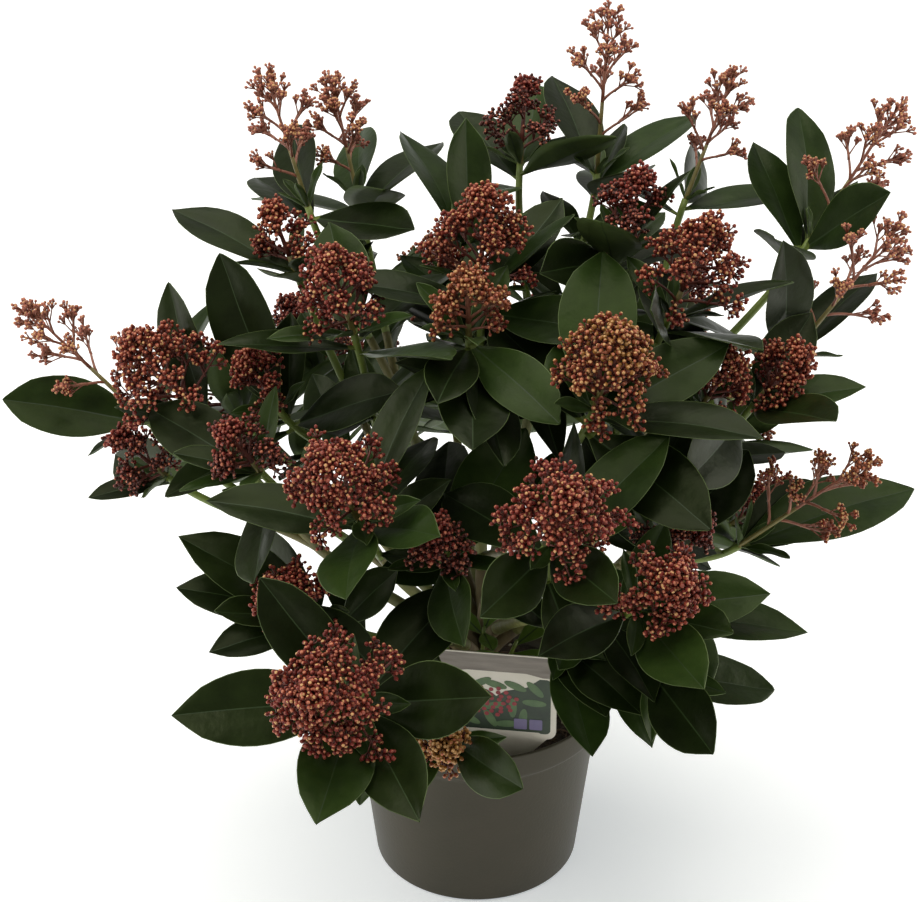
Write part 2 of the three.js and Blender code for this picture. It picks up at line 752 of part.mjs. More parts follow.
function touches(a, b) {
  const p = a.boundingBox();
  const q = b.boundingBox();
  const near = [0, 1, 2].every((i) => p.min[i] - GAP < q.max[i] && q.min[i] - GAP < p.max[i]);
  return near && a.minGap(b, 2 * GAP) < GAP;
}

// Each bough is cut back by the main stem and by the boughs before it.
const cutters = [solidFrom(stemGeometry(1.2 * GAP))];
for (const mass of masses) {
  const whole = solidFrom(boughGeometry(mass, 0));
  mass.bough = biggestPiece(whole.subtract(wasm.Manifold.union(cutters)));
  cutters.push(solidFrom(boughGeometry(mass, 1.2 * GAP)));
}

// Twigs and panicles first, so that leaves can keep clear of them.
const fixed = [pot, compost, label, stem, ...masses.map((m) => m.bough)];
const placed = fixed.map((solid) => ({ solid, shoot: null }));
for (const [m, mass] of masses.entries()) {
  const root = new THREE.LineCurve3(
    along(mass.fork, mass.heading, GAP),
    along(mass.fork, mass.heading, GAP + TWIG.rootLength),
  );
  const rootSolid = solidFrom(limbGeometry(root, () => TWIG.rootRadius, 6, 1));
  mass.parts = [rootSolid];
  placed.push({ solid: rootSolid, shoot: null });
  for (const [s, place] of mass.shoots.entries()) {
    place.random = seeded(1000 * m + 10 * s + 7);
    place.twig = twigCurve(mass, place);
    const twig = solidFrom(
      limbGeometry(
        place.twig,
        (t) => mix(TWIG.rootRadius, TWIG.tipRadius, t),
        TWIG.sides,
        TWIG.steps,
      ),
    );
    mass.parts.push(twig);
    placed.push({ solid: twig, shoot: place });
  }
}
for (const mass of masses) {
  for (const place of mass.shoots) {
    if (place.spread === 0) continue;
    const head = planHead(place, place.random);
    mass.parts.push(head.rachis);
    placed.push({ solid: head.rachis, shoot: place });
    for (const lobe of head.lobes) {
      if (placed.some((p) => p.shoot !== place && touches(p.solid, lobe))) continue;
      mass.parts.push(lobe);
      placed.push({ solid: lobe, shoot: place });
    }
  }
}

// Leaves, one from each shoot in turn. A leaf that would touch its neighbours is swung and bent
// a little, and is left out where nothing helps.
const POSTURES = [
  [0, 0], [6, 0], [-6, 0], [0, 6], [0, -6], [12, 0], [-12, 0], [0, 12], [0, -12],
  [20, 8], [-20, 8], [20, -8], [-20, -8], [34, 0], [-34, 0],
];
for (const mass of masses) {
  for (const place of mass.shoots) place.plan = planLeaves(place, place.random);
}
const mostLeaves = Math.max(...masses.flatMap((m) => m.shoots.map((s) => s.plan.length)));
for (let k = 1; k <= mostLeaves; k++) {
  for (const mass of masses) {
    for (const place of mass.shoots.filter((s) => s.plan.length >= k)) {
      const leaf = place.plan[place.plan.length - k];
      for (const posture of POSTURES) {
        const solid = leafSolid(place, leaf, posture);
        if (placed.every((p) => p.shoot === place || !touches(p.solid, solid))) {
          mass.parts.push(solid);
          placed.push({ solid, shoot: place });
          break;
        }
      }
    }
  }
}

const plant = new THREE.Group();
function addNode(name, solid, colour, roughness) {
  const material = new THREE.MeshStandardMaterial({ color: colour, roughness, metalness: 0 });
  const mesh = new THREE.Mesh(geometryFrom(solid), material);
  mesh.name = name;
  plant.add(mesh);
}

addNode("pot", pot, COLOURS.pot, 0.6);
addNode("compost", compost, COLOURS.compost, 1);
addNode("plant_label", label, COLOURS.label, 0.5);
addNode("main_stem", stem, COLOURS.stem, 0.8);
for (const mass of masses) {
  addNode("bough_" + mass.name, mass.bough, COLOURS.bough, 0.7);
  addNode("foliage_" + mass.name, fuse(mass.parts), COLOURS.foliage, 0.45);
}

export default plant;
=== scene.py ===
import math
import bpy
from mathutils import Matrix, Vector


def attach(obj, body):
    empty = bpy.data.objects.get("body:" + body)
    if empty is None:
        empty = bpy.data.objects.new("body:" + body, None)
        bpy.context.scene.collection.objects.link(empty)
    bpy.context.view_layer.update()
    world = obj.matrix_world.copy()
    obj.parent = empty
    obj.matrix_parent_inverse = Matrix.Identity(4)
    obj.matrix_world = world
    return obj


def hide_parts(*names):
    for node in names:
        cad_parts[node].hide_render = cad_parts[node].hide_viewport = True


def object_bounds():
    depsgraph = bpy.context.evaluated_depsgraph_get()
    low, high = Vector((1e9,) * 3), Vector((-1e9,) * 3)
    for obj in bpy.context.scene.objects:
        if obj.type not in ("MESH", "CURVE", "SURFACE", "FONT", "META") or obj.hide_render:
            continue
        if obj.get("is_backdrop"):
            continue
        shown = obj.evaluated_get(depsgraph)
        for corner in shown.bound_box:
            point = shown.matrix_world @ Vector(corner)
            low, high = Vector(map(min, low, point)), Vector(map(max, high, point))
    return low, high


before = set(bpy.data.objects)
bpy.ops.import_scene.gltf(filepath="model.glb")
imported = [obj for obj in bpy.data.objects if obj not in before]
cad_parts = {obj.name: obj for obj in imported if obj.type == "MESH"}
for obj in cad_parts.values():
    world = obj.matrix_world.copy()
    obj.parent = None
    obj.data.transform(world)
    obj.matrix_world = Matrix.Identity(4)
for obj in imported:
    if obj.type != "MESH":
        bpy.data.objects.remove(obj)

# The potted skimmia dressed for rendering. The plant grows by the same rule as its solids:
# boughs from a short main stem, twigs from each bough's tip, leaves and a panicle of flower
# buds on each twig. Here it is carried on to petioles, midribs, panicle branches and buds.
# Lengths are millimetres until a mesh is made; Blender's are metres.
from types import SimpleNamespace as Named

import bpy
import numpy as np
from mathutils import Vector
from mathutils.bvhtree import BVHTree
from mathutils.kdtree import KDTree

for name in ("Cube", "Light", "Camera"):  # of Blender's own start scene
    if name in bpy.data.objects:
        bpy.data.objects.remove(bpy.data.objects[name])
CAD_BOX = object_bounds()
MM = 0.001

# ---- sizes shared with the solids
GAP = 0.3
POT = Named(
    height=126, base_radius=66, body_top_radius=78, collar_radius=85, collar_height=22,
    collar_step=5, wall=1.6, floor=2.4, holes=8, hole_radius=6, hole_ring=44,
)
COMPOST = Named(below_rim=13, dip=4)
LABEL = Named(
    width=74, height=95, tongue=42, tongue_height=20, shoulder=32, thickness=1.0, corner=6,
    depth=16, x=12, y=-62, lean=3, yaw=-8,
)
CROWN_BASE = np.array([0.0, 0.0, 140.0])
VIEWER = Named(  # in front of the plant and above it; its frame is the table's
    fall=29.1, target=(-10.4, 0.0, 295.0), distance=1400, focus=2302, middle=(460.5, 451),
)
STEM = Named(
    top_z=176, lean=(4, -3), foot_radius=11, radius=7.5, top_radius=5.2, flare_height=14,
)
BOUGH = Named(root_radius=4.6, tip_radius=3.3, share=0.5)
TWIG = Named(root_radius=2.9, tip_radius=2.2, root_length=14)
LEAF = Named(
    length=88, slimness=0.42, fold=0.1, arch=0.1, spacing=3.6, sunk=1.0, inner_splay=42,
    outer_splay=82,
)
GOLDEN_ANGLE = 137.5
STEEP = 0.02
AIM_STEPS = 12
TALL = {"open": 3.1, "dome": 1.9}
FOOT = {"open": 0.28, "dome": 0.3}
HEAD_DRAWS = {"open": 15, "dome": 24}  # random numbers that the solid panicle takes
HEAD_GAP = 5


def shoot(at, kind, spread, leaves, first_leaf, own=(), upright=0.16):
    """One shoot, in the source's terms: its head's place in the viewer's frame and how much
    nearer than the target it is; leaves of its own are (across, down, length, show)."""
    return Named(at=at, kind=kind, spread=spread, leaves=leaves, first_leaf=first_leaf, own=own,
                 upright=upright)


# Name, place on the main stem, lift of the fork, and the shoots of its mass.
BOUGHS = [
    ("front_left", 0.45, 20, [
        shoot((327, 699, 215), "dome", 38, 0, 0, [
            (171, 707, -95, 1), (260, 576, -85, 0.95), (460, 578, -95, 0.95), (497, 697, 95, 1),
            (420, 823, 95, 1), (307, 825, 90, 1)]),
        shoot((290, 600, 135), "dome", 28, 0, 0, [
            (175, 541, -85, 0.75), (175, 584, 0, 0.75), (237, 533, -85, 0.8), (207, 645, 60, 0.7),
            (214, 616, 62, 0.6)]),
        shoot((447, 744, 150), "dome", 15, 0, 0, [(392, 742, -60, 0.7), (523, 790, 75, 0.9)]),
    ]),
    ("front_right", 0.62, 8, [
        shoot((563, 514, 215), "dome", 34, 0, 0, [
            (580, 422, -80, 0.5), (452, 487, -95, 0.9), (676, 440, -90, 0.85), (483, 619, 75, 1),
            (618, 604, 80, 1)]),
        shoot((663, 590, 190), "dome", 30, 0, 0, [
            (728, 632, 70, 0.6), (537, 647, 80, 0.9), (809, 634, -100, 0.65), (772, 604, 0, 0.9),
            (707, 693, 85, 1)]),
        shoot((682, 527, 120), "dome", 22, 2, 200, [(648, 478, -75, 0.6), (765, 468, -95, 0.9)]),
        shoot((650, 668, 130), "dome", 0, 0, 0, [(773, 697, -85, 0.8), (718, 756, 85, 1)]),
        shoot((560, 640, 90), "dome", 0, 0, 0, [
            (602, 719, 70, 0.8), (592, 758, 80, 0.75), (641, 713, 75, 0.9)]),
    ]),
    ("right_low", 0.4, 0, [
        shoot((824, 490, 73), "open", 34, 2, 330, [(906, 504, -125, 0.75)]),
        shoot((784, 370, 76), "dome", 23, 2, 320, [(865, 383, 0, 0.55), (834, 424, 85, 0.6)]),
    ]),
    ("front_high", 0.86, 0, [
        shoot((612, 360, 167), "dome", 33, 1, 190, [
            (497, 316, -100, 0.85), (712, 325, -90, 0.9), (763, 431, 100, 0.5),
            (600, 248, -100, 1)]),
        shoot((438, 540, 141), "dome", 20, 1, 20, [(452, 415, -100, 0.8), (462, 646, 70, 0.8)]),
    ]),
    ("left_front", 0.55, 0, [
        shoot((337, 482, 178), "dome", 34, 0, 0, [
            (470, 465, -100, 0.5), (222, 488, -85, 0.6), (207, 500, 0, 0.75), (443, 531, 70, 0.6),
            (340, 600, 85, 0.65), (429, 362, -90, 0.6)]),
        shoot((238, 446, 105), "dome", 20, 2, 120, [(173, 452, 0, 0.55)]),
    ]),
    ("left", 0.35, 0, [
        shoot((66, 345, 5), "open", 32, 1, 300, [(3, 396, -90, 0.9), (88, 457, 0, 0.2)]),
        shoot((157, 367, 61), "dome", 35, 1, 70, [(165, 283, -85, 0.7), (113, 412, 0, 0.6)]),
        shoot((136, 452, 20), "dome", 20, 1, 237, [(88, 497, 0, 0.7)]),
    ]),
    ("left_high", 0.78, 0, [
        shoot((258, 377, 69), "dome", 21, 1, 180, [
            (400, 392, 85, 0.7), (291, 312, -62, 0.75), (226, 433, -80, 0.25),
            (217, 254, -100, 0.85)]),
        shoot((338, 284, 111), "dome", 28, 2, 60, [(444, 267, -95, 0.55), (331, 224, -85, 1)]),
        shoot((280, 232, 44), "dome", 21, 2, 280, [(174, 207, -95, 0.65)]),
    ]),
    ("top_front", 0.97, 0, [
        shoot((482, 229, 90), "dome", 36, 3, 125, [(578, 217, 0, 0.25)]),
        shoot((468, 299, 130), "dome", 25, 1, 167, [
            (508, 457, 85, 0.6), (418, 400, 75, 0.8), (560, 420, 80, 0.9)]),
        shoot((468, 244, 45), "dome", 0, 1, 0, [(411, 128, -110, 0.55), (463, 118, -80, 0.85)]),
    ]),
    ("back_left_high", 0.8, 0, [
        shoot((281, 122, 0), "open", 30, 2, 60, [
            (417, 234, 85, 0.6), (290, 122, -88, 0.85)]),
        shoot((341, 122, -45), "open", 27, 2, 20, [
            (438, 140, -95, 0.6), (363, 124, -88, 0.7)]),
    ]),
    ("top", 0.95, 0, [
        shoot((605, 68, 3), "open", 36, 2, 20, [
            (628, 122, -62, 0.6), (697, 101, -95, 0.7), (551, 73, -98, 0.75)], 3),
        shoot((524, 112, -35), "dome", 28, 3, 10, [(545, 87, -85, 0.9)]),
        shoot((634, 205, 60), "dome", 26, 3, 0, [(560, 270, 85, 0.75), (690, 169, 0, 0.35)]),
    ]),
    ("right_high", 0.7, 0, [
        shoot((868, 152, -3), "open", 32, 1, 317, [
            (859, 183, -75, 0.7), (752, 143, -85, 0.65), (892, 190, 85, 0.75),
            (807, 108, -100, 0.7)]),
        shoot((717, 118, -27), "open", 27, 2, 60, [(700, 147, -80, 0.75)]),
        shoot((862, 270, 36), "open", 34, 1, 337, [(790, 240, 90, 0.7), (878, 269, -90, 0.7)]),
    ]),
    ("right_front", 0.74, 0, [
        shoot((697, 258, 101), "dome", 35, 3, 300, [(640, 330, 85, 0.85), (794, 281, 0, 0.3)]),
        shoot((722, 377, 102), "dome", 20, 2, 250, [(697, 432, 70, 0.6), (665, 330, -80, 0.7)]),
    ]),
    ("back_left", 0.5, 0, [
        shoot((205, 372, -76), "dome", 30, 6, 50),
        shoot((300, 330, -108), "dome", 28, 5, 30),
        shoot((244, 405, -150), "dome", 22, 6, 60),
    ]),
    ("back", 0.6, 0, [
        shoot((439, 275, -157), "dome", 34, 7, 60),
        shoot((353, 338, -195), "dome", 30, 7, 225),
        shoot((544, 318, -205), "dome", 24, 7, 100),
    ]),
    ("back_right", 0.48, 0, [
        shoot((672, 285, -142), "dome", 34, 7, 30),
        shoot((745, 400, -130), "dome", 30, 7, 200),
        shoot((765, 500, -80), "dome", 22, 6, 40),
    ]),
]

# ---- sizes of the finer growth
BLADE = Named(
    rings=15,  # across-rings between petiole and tip
    thickness=0.55,
    margin=0.4,  # width of the pale edge, partly a painted highlight where light catches it
    rib=0.5,  # half-width of the midrib
    petiole=1.3,  # half-width
    point=(0.86, 0.125),  # where the short point starts, and over what share of the length
    drawn_in=0.5,  # share that the point is narrower by
)
RING = 14  # points of a leaf's across-ring, ten above and four below
BUD_SIDES = 5
BUD_LOT = 500  # buds made at once
THIN = (0.6, 0.45)  # radii of a thin stalk's foot and end
SPRAYS = {  # by kind of panicle: bud radius, stalks and buds of a spray, their lengths and splays
    "dome": dict(bud=1.4, stalks=4, stalk_length=6.2, splay=(62, 34), umbel=6, pedicel=3.1,
                 spread=(30, 70)),
    "open": dict(bud=1.16, stalks=4, stalk_length=7.6, splay=(46, 24), umbel=6, pedicel=3.2,
                 spread=(14, 38)),
}
TIERS = (  # of a dome, from its foot: share of its height and half-width, and sprays
    (0.08, 0.94, 4),
    (0.33, 1.08, 6),
    (0.58, 0.9, 9),
    (0.76, 0.74, 9),
    (0.9, 0.48, 6),
    (1.0, 0.18, 3),
)
# Below, a pair holds the limits of a random number, or the values at a thing's two ends.
DOME = Named(
    full=38,  # half-width of the dome that the tiers' sprays are counted for
    share=0.86,  # of those sprays that grows, but on the looser heads
    loose={("top", 1): 0.55, ("right_front", 0): 0.75, ("top_front", 0): 0.75},
    width=(0.84, 1.08), level=(0.95, 1.03), drop=(0.75, 1.05),
    top_root=0.88,  # share of the rachis where the last branch leaves it
    lesser_at=0.55,  # share of a branch at which the lesser spray leaves it
)
OPEN = Named(
    branches=11,
    roots=(0.8, 0.86),  # of the first, as a share of the foot, and of the last, of the rachis
    splay=(56, 26), reach=(0.85, 1.08),
    profile=((0, 0.2, 0.5, 0.8, 1), (0.95, 1, 0.86, 0.55, 0.12)),
)
BRANCH = Named(radii=(1.0, 0.62), sides=5, rings=6, rise=0.35, end=0.3)
SPRAY = Named(
    size=10.5, lesser=0.8, along=(0.62, 0.94), stalk=(0.8, 1.2), lean=0.5, swing=16,
    short=0.4,  # chance of one bud fewer
)
UMBEL = Named(  # its first bud ends the stalk
    first_splay=8, first_pedicel=1.2, pedicel=(0.8, 1.3), bud=(0.78, 1.12), swing=30,
    ripeness=0.55,  # how much of a bud's colour is told by its height, as painted light and shade, the rest being chance
)
UP = np.array([0.0, 0.0, 1.0])
ASIDE = np.array([1.0, 0.0, 0.0])
MASK = 0xFFFFFFFF
MOST_TRIANGLES = 190000  # of a piece, under the limit of 200,000


# ---- small tools
def mix(a, b, t):
    return a * (1 - t) + b * t


def unit(v):
    return v / np.linalg.norm(v)


def seeded(seed):
    """Random numbers, the same stream as the source's, from 0 to 1 or between two limits."""
    state = seed & MASK

    def draw(low=0, high=1):
        nonlocal state
        state = (state + 0x6D2B79F5) & MASK
        t = (state ^ (state >> 15)) * (1 | state) & MASK
        t = ((t + ((t ^ (t >> 7)) * (61 | t))) & MASK) ^ t
        return mix(low, high, (t ^ (t >> 14)) / (MASK + 1))

    return draw


def cos_sin(degrees):
    angle = math.radians(degrees)
    return math.cos(angle), math.sin(angle)


def turned(v, axis, degrees):
    """v turned about a unit axis."""
    c, s = cos_sin(degrees)
    return v * c + np.cross(axis, v) * s + axis * np.dot(axis, v) * (1 - c)


def square_to(direction):
    """Two unit vectors square to a direction and to each other."""
    u = unit(np.cross(direction, UP if abs(direction[2]) < 0.9 else ASIDE))
    return u, np.cross(direction, u)


def square_to_each(directions):
    """The same for many directions at once."""
    u = np.cross(directions, np.where(np.abs(directions[:, 2:]) < 0.9, UP, ASIDE))
    u /= np.linalg.norm(u, axis=1)[:, None]
    return u, np.cross(directions, u)


def ring_angles(sides):
    return np.arange(sides) / sides * 2 * math.pi


class Curve:
    """A cubic Bezier curve, read by its share of length."""

    def __init__(self, *controls):
        self.controls = np.array(controls, float)
        self.ts = np.linspace(0, 1, 201)
        steps = np.diff(self.raw(self.ts), axis=0)
        self.lengths = np.concatenate([[0], np.cumsum(np.linalg.norm(steps, axis=1))])
        self.length = self.lengths[-1]

    def raw(self, t):
        t = np.atleast_1d(t)[:, None]
        a, b, c, d = self.controls
        return a * (1 - t) ** 3 + 3 * b * t * (1 - t) ** 2 + 3 * c * t**2 * (1 - t) + d * t**3

    def at(self, share):
        """One point, or one for each share."""
        t = np.interp(np.asarray(share) * self.length, self.lengths, self.ts)
        points = self.raw(t)
        return points[0] if np.ndim(share) == 0 else points


class Batch:
    """Points and faces gathered for one kind of growth, each face with its finish's number."""

    def __init__(self):
        self.parts = []

    def add(self, points, faces, finish):
        """faces is a list of (corners, finish) arrays; a finish of None takes the one given."""
        groups = [(f, np.full(len(f), finish if own is None else own)) for f, own in faces]
        self.parts.append((np.asarray(points, float), groups))

    def pieces(self):
        """The parts joined into lots that each make a piece."""
        lot, count = [], 0
        for part in self.parts:
            triangles = sum(len(f) * (f.shape[1] - 2) for f, _ in part[1])
            if lot and count + triangles > MOST_TRIANGLES:
                yield lot
                lot, count = [], 0
            lot.append(part)
            count += triangles
        if lot:
            yield lot


def mesh_of(name, lot, finishes, sharp=None):
    """An object of one lot of parts, in metres; edges over sharp degrees stay sharp."""
    points = np.concatenate([p for p, _ in lot]) * MM
    starts = np.cumsum([0] + [len(p) for p, _ in lot])
    corners, sizes, slots = [], [], []
    for start, (_, groups) in zip(starts, lot):
        for faces, finish in groups:
            corners.append((faces + start).ravel())
            sizes.append(np.full(len(faces), faces.shape[1]))
            slots.append(finish)
    corners, sizes, slots = map(np.concatenate, (corners, sizes, slots))
    mesh = bpy.data.meshes.new(name)
    mesh.vertices.add(len(points))
    mesh.vertices.foreach_set("co", points.ravel())
    mesh.loops.add(len(corners))
    mesh.loops.foreach_set("vertex_index", corners.astype(np.int32))
    mesh.polygons.add(len(sizes))
    for material in finishes:
        mesh.materials.append(material)
    for field, values in (
        ("loop_start", np.cumsum(sizes) - sizes),
        ("loop_total", sizes),
        ("material_index", slots),
    ):
        mesh.polygons.foreach_set(field, values.astype(np.int32))
    mesh.polygons.foreach_set("use_smooth", np.ones(len(sizes), bool))
    mesh.update(calc_edges=True)
    mesh.validate()
    if sharp is not None:
        mesh.set_sharp_from_angle(angle=math.radians(sharp))
    made = bpy.data.objects.new(name, mesh)
    bpy.context.scene.collection.objects.link(made)
    return made


def dress(made, slot, *nodes):
    """The piece rides on the plant's one body and stands for its solids."""
    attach(made, "root")
    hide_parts(*nodes)


def ring_faces(sides, rings):
    """Quads between stacked rings, and a fan round each of the two points that follow them."""
    j = np.arange(sides)
    k = (j + 1) % sides
    quads = [np.stack([j, k, k + sides, j + sides], axis=1) + i * sides for i in range(rings - 1)]
    last, near = (rings - 1) * sides, np.full(sides, rings * sides)
    caps = [np.stack([near, k, j], axis=1), np.stack([near + 1, j + last, k + last], axis=1)]
    return [(np.concatenate(quads), None), (np.concatenate(caps), None)]


def tube(points, radii, sides, relief=None):
    """A closed tube along a line of points. relief(share, angle) scales its radius."""
    points = np.asarray(points, float)
    tangents = np.gradient(points, axis=0)
    tangents /= np.linalg.norm(tangents, axis=1)[:, None]
    normal, _ = square_to(tangents[0])
    rings, angles = [], ring_angles(sides)
    for i, (centre, tangent, radius) in enumerate(zip(points, tangents, radii)):
        normal = unit(normal - tangent * np.dot(normal, tangent))
        side = np.cross(tangent, normal)
        reach = np.full(sides, float(radius))
        if relief is not None:
            reach = reach * relief(i / (len(points) - 1), angles)
        rings.append(
            centre
            + np.outer(np.cos(angles) * reach, normal)
            + np.outer(np.sin(angles) * reach, side)
        )
    return np.concatenate(rings + [[points[0], points[-1]]]), ring_faces(sides, len(points))


def rods(starts, ends, radius, tip_radius, sides=3):
    """Many straight closed rods at once."""
    starts, ends = np.asarray(starts), np.asarray(ends)
    along = ends - starts
    along /= np.linalg.norm(along, axis=1)[:, None]
    u, v = square_to_each(along)
    rings = []
    for centre, r in ((starts, radius), (ends, tip_radius)):
        for a in ring_angles(sides):
            rings.append(centre + u * (math.cos(a) * r) + v * (math.sin(a) * r))
    points = np.stack(rings, axis=1).reshape(-1, 3)
    j = np.arange(sides)
    k = (j + 1) % sides
    sheet = np.stack([j, k, k + sides, j + sides], axis=1)
    base = (np.arange(len(starts)) * 2 * sides)[:, None, None]
    quads = (sheet[None] + base).reshape(-1, 4)
    caps = [[0, i + 1, i] for i in range(1, sides - 1)]
    caps += [[sides, sides + i, sides + i + 1] for i in range(1, sides - 1)]
    triangles = (np.array(caps)[None] + base).reshape(-1, 3)
    return points, [(quads, None), (triangles, None)]


# ---- finishes
def srgb(*channels):
    """A colour given as 0 to 255 channels, in Blender's linear values."""
    values = [c / 255 for c in channels]
    return [c / 12.92 if c <= 0.04045 else ((c + 0.055) / 1.055) ** 2.4 for c in values] + [1.0]


def finish(name, tones, roughness, scale, relief=0.0, relief_scale=0, stretch=(1, 1, 1),
           specular=0.5):
    """A grown or moulded surface: two or three tones that drift into each other, a gloss that
    varies with them, and a fine relief, whose depth is in millimetres."""
    material = bpy.data.materials.new(name)
    material.use_nodes = True
    nodes, links = material.node_tree.nodes, material.node_tree.links
    shader = nodes["Principled BSDF"]
    shader.inputs["Specular IOR Level"].default_value = specular

    def node(kind, **values):
        made = nodes.new("ShaderNode" + kind)
        for key, value in values.items():
            made.inputs[key.replace("_", " ")].default_value = value
        return made

    def join(source, output, target, entry):
        links.new(source.outputs[output], target.inputs[entry])

    place = node("TexCoord")
    mapping = node("Mapping", Scale=stretch)
    join(place, "Object", mapping, "Vector")
    drift = node("TexNoise", Scale=scale, Detail=4.0, Roughness=0.6)
    join(mapping, "Vector", drift, "Vector")
    ramp = node("ValToRGB")
    marks = ramp.color_ramp.elements
    marks[0].position, marks[1].position = 0.3, 0.7
    marks[0].color, marks[1].color = srgb(*tones[0]), srgb(*tones[-1])
    if len(tones) == 3:
        marks.new(0.5).color = srgb(*tones[1])
    join(drift, "Fac", ramp, "Fac")
    join(ramp, "Color", shader, "Base Color")
    gloss = node("MapRange", To_Min=roughness[0], To_Max=roughness[1])
    join(drift, "Fac", gloss, "Value")
    join(gloss, "Result", shader, "Roughness")
    if relief:
        grain = node("TexNoise", Scale=relief_scale, Detail=3.0)
        join(mapping, "Vector", grain, "Vector")
        bump = node("Bump", Strength=1.0, Distance=relief * MM)
        join(grain, "Fac", bump, "Height")
        join(bump, "Normal", shader, "Normal")
    return material


WAX = (0.9, 1.0, 0.6, 1.0)  # tint of a leaf's own sheen


def leaf_finish(name, *tones):
    made = finish(name, tones, (0.27, 0.42), 45, 0.45, 120, specular=0.15)
    made.node_tree.nodes["Principled BSDF"].inputs["Specular Tint"].default_value = WAX
    return made


LEAF_FINISHES = [
    leaf_finish("leaf_upper_deep", (15, 22, 7), (25, 35, 13)),
    leaf_finish("leaf_upper_dark", (18, 27, 8), (30, 41, 15)),
    leaf_finish("leaf_upper_green", (22, 34, 11), (35, 50, 18)),
    leaf_finish("leaf_upper_fresh", (29, 44, 15), (43, 60, 23)),
    finish("leaf_under", [(56, 72, 34), (72, 88, 44)], (0.55, 0.65), 60, 0.2, 260,
           specular=0.2),
    # the leaf's pale edge, lightened as a painted highlight where light catches it
    finish("leaf_margin", [(66, 84, 42), (92, 108, 60)], (0.4, 0.5), 80, specular=0.3),
    finish("leaf_midrib", [(32, 47, 20), (46, 63, 29)], (0.4, 0.5), 80, specular=0.25),
    finish("leaf_petiole", [(84, 100, 42), (108, 120, 54)], (0.4, 0.5), 80, specular=0.3),
    leaf_finish("leaf_upper_young", (56, 78, 30), (84, 106, 42)),
]
UPPERS, UNDER, MARGIN, MIDRIB, PETIOLE, YOUNG = 4, 4, 5, 6, 7, 8

BUD_FINISHES = [
    finish(name, (low, high), (0.35, 0.5), 300, 0.1, 900, specular=0.32)
    for name, low, high in (
        ("bud_crimson", (88, 24, 19), (128, 42, 31)),
        ("bud_brick", (100, 34, 23), (138, 58, 37)),
        ("bud_russet", (108, 50, 26), (144, 76, 41)),
        ("bud_amber", (120, 76, 31), (156, 108, 46)),
        # painted shade: a darker red for buds in shade, at the foot of a head and over whole heads
        # in the crown's shade
        ("bud_wine", (54, 22, 17), (80, 34, 25)),
        # a bud's pale tip, made brighter as a painted highlight
        ("tip_salmon", (168, 94, 68), (196, 124, 92)),
        ("tip_straw", (182, 134, 84), (208, 164, 110)),
        # a darker tip, painted shade on the heads in shade and a random tone elsewhere
        ("tip_rose", (126, 60, 48), (158, 84, 66)),
        ("bud_tan", (148, 88, 73), (184, 118, 99)),
    )
]
CRIMSON, BRICK, RUSSET, AMBER, SHADED_RED, SALMON, STRAW, ROSE, TAN = range(9)

TWIG_FINISHES = [
    finish("twig_green", [(84, 102, 38), (116, 132, 54)], (0.4, 0.55), 90, 0.3, 400, (1, 1, 0.4)),
    finish("twig_olive", [(84, 84, 42), (110, 102, 56)], (0.45, 0.6), 90, 0.4, 400, (1, 1, 0.4)),
    *(finish(name, (low, high), (0.4, 0.55), 200, 0.15, 700) for name, low, high in (
        ("stalk_red", (78, 34, 27), (108, 52, 39)),
        ("stalk_brown", (126, 74, 58), (154, 100, 78)),
        ("stalk_olive", (96, 90, 44), (122, 110, 58)),
    )),
]
GREEN, OLIVE, RED, BROWN, PALE = range(5)

BARK = finish(
    "bark_brown", [(62, 52, 34), (92, 80, 52), (112, 102, 70)], (0.7, 0.85), 60,
    relief=1.2, relief_scale=160, stretch=(1, 1, 0.3),
)
YOUNG_BARK = finish(
    "bark_olive", [(66, 66, 34), (92, 94, 46), (110, 110, 58)], (0.55, 0.7), 70,
    relief=0.7, relief_scale=220, stretch=(1, 1, 0.4),
)


# ---- the rule of growth
compost_top = POT.height - COMPOST.below_rim
collar_foot = POT.height - POT.collar_height
stem_curve = Curve(
    (0, 0, compost_top + GAP),
    (0, 0, mix(compost_top, STEM.top_z, 0.35)),
    (STEM.lean[0] * 0.6, STEM.lean[1] * 0.6, mix(compost_top, STEM.top_z, 0.7)),
    (STEM.lean[0], STEM.lean[1], STEM.top_z),
)


fall = math.radians(VIEWER.fall)
sight = np.array([0.0, math.cos(fall), -math.sin(fall)])
sight_up = np.array([0.0, math.sin(fall), math.cos(fall)])
eye = np.array(VIEWER.target) - sight * VIEWER.distance


def ray(across, down):
    """The way from the eye to a place in its frame, 1 long along the line of sight."""
    x, y = VIEWER.middle
    way = sight + sight_up * (y - down) / VIEWER.focus
    way[0] += (across - x) / VIEWER.focus
    return way


def place_shoot(row):
    """Where a shoot's head stands, and which way."""
    across, down, nearer = row.at
    middle = eye + ray(across, down) * (VIEWER.distance - nearer)
    axis = unit(unit(middle - CROWN_BASE) + UP * row.upright)
    uphill = UP - axis * np.dot(UP, axis)
    if np.dot(uphill, uphill) < STEEP:
        uphill = np.array([0.0, 1.0, 0.0]) - axis * axis[1]  # towards the back
    uphill = unit(uphill)
    sideways = np.cross(uphill, axis)
    return Named(**vars(row), axis=axis, uphill=uphill, sideways=sideways, middle=middle)


def fit_heads(shoots):
    """Neighbouring heads share the room between them."""
    for a in shoots:
        a.room = a.spread
        for b in shoots:
            if a is b or b.spread == 0:
                continue
            share = a.spread / (a.spread + b.spread)
            apart = np.linalg.norm(a.middle - b.middle)
            a.room = min(a.room, (apart - HEAD_GAP) * share)
    for a in shoots:
        a.rachis = a.room * TALL[a.kind]
        below = a.rachis * (0.5 + FOOT[a.kind] / 2)
        a.rosette = a.middle - a.axis * below


def around(place, degrees):
    """A direction square to the shoot's axis, clockwise from uphill."""
    c, s = cos_sin(degrees)
    return place.uphill * c + place.sideways * s


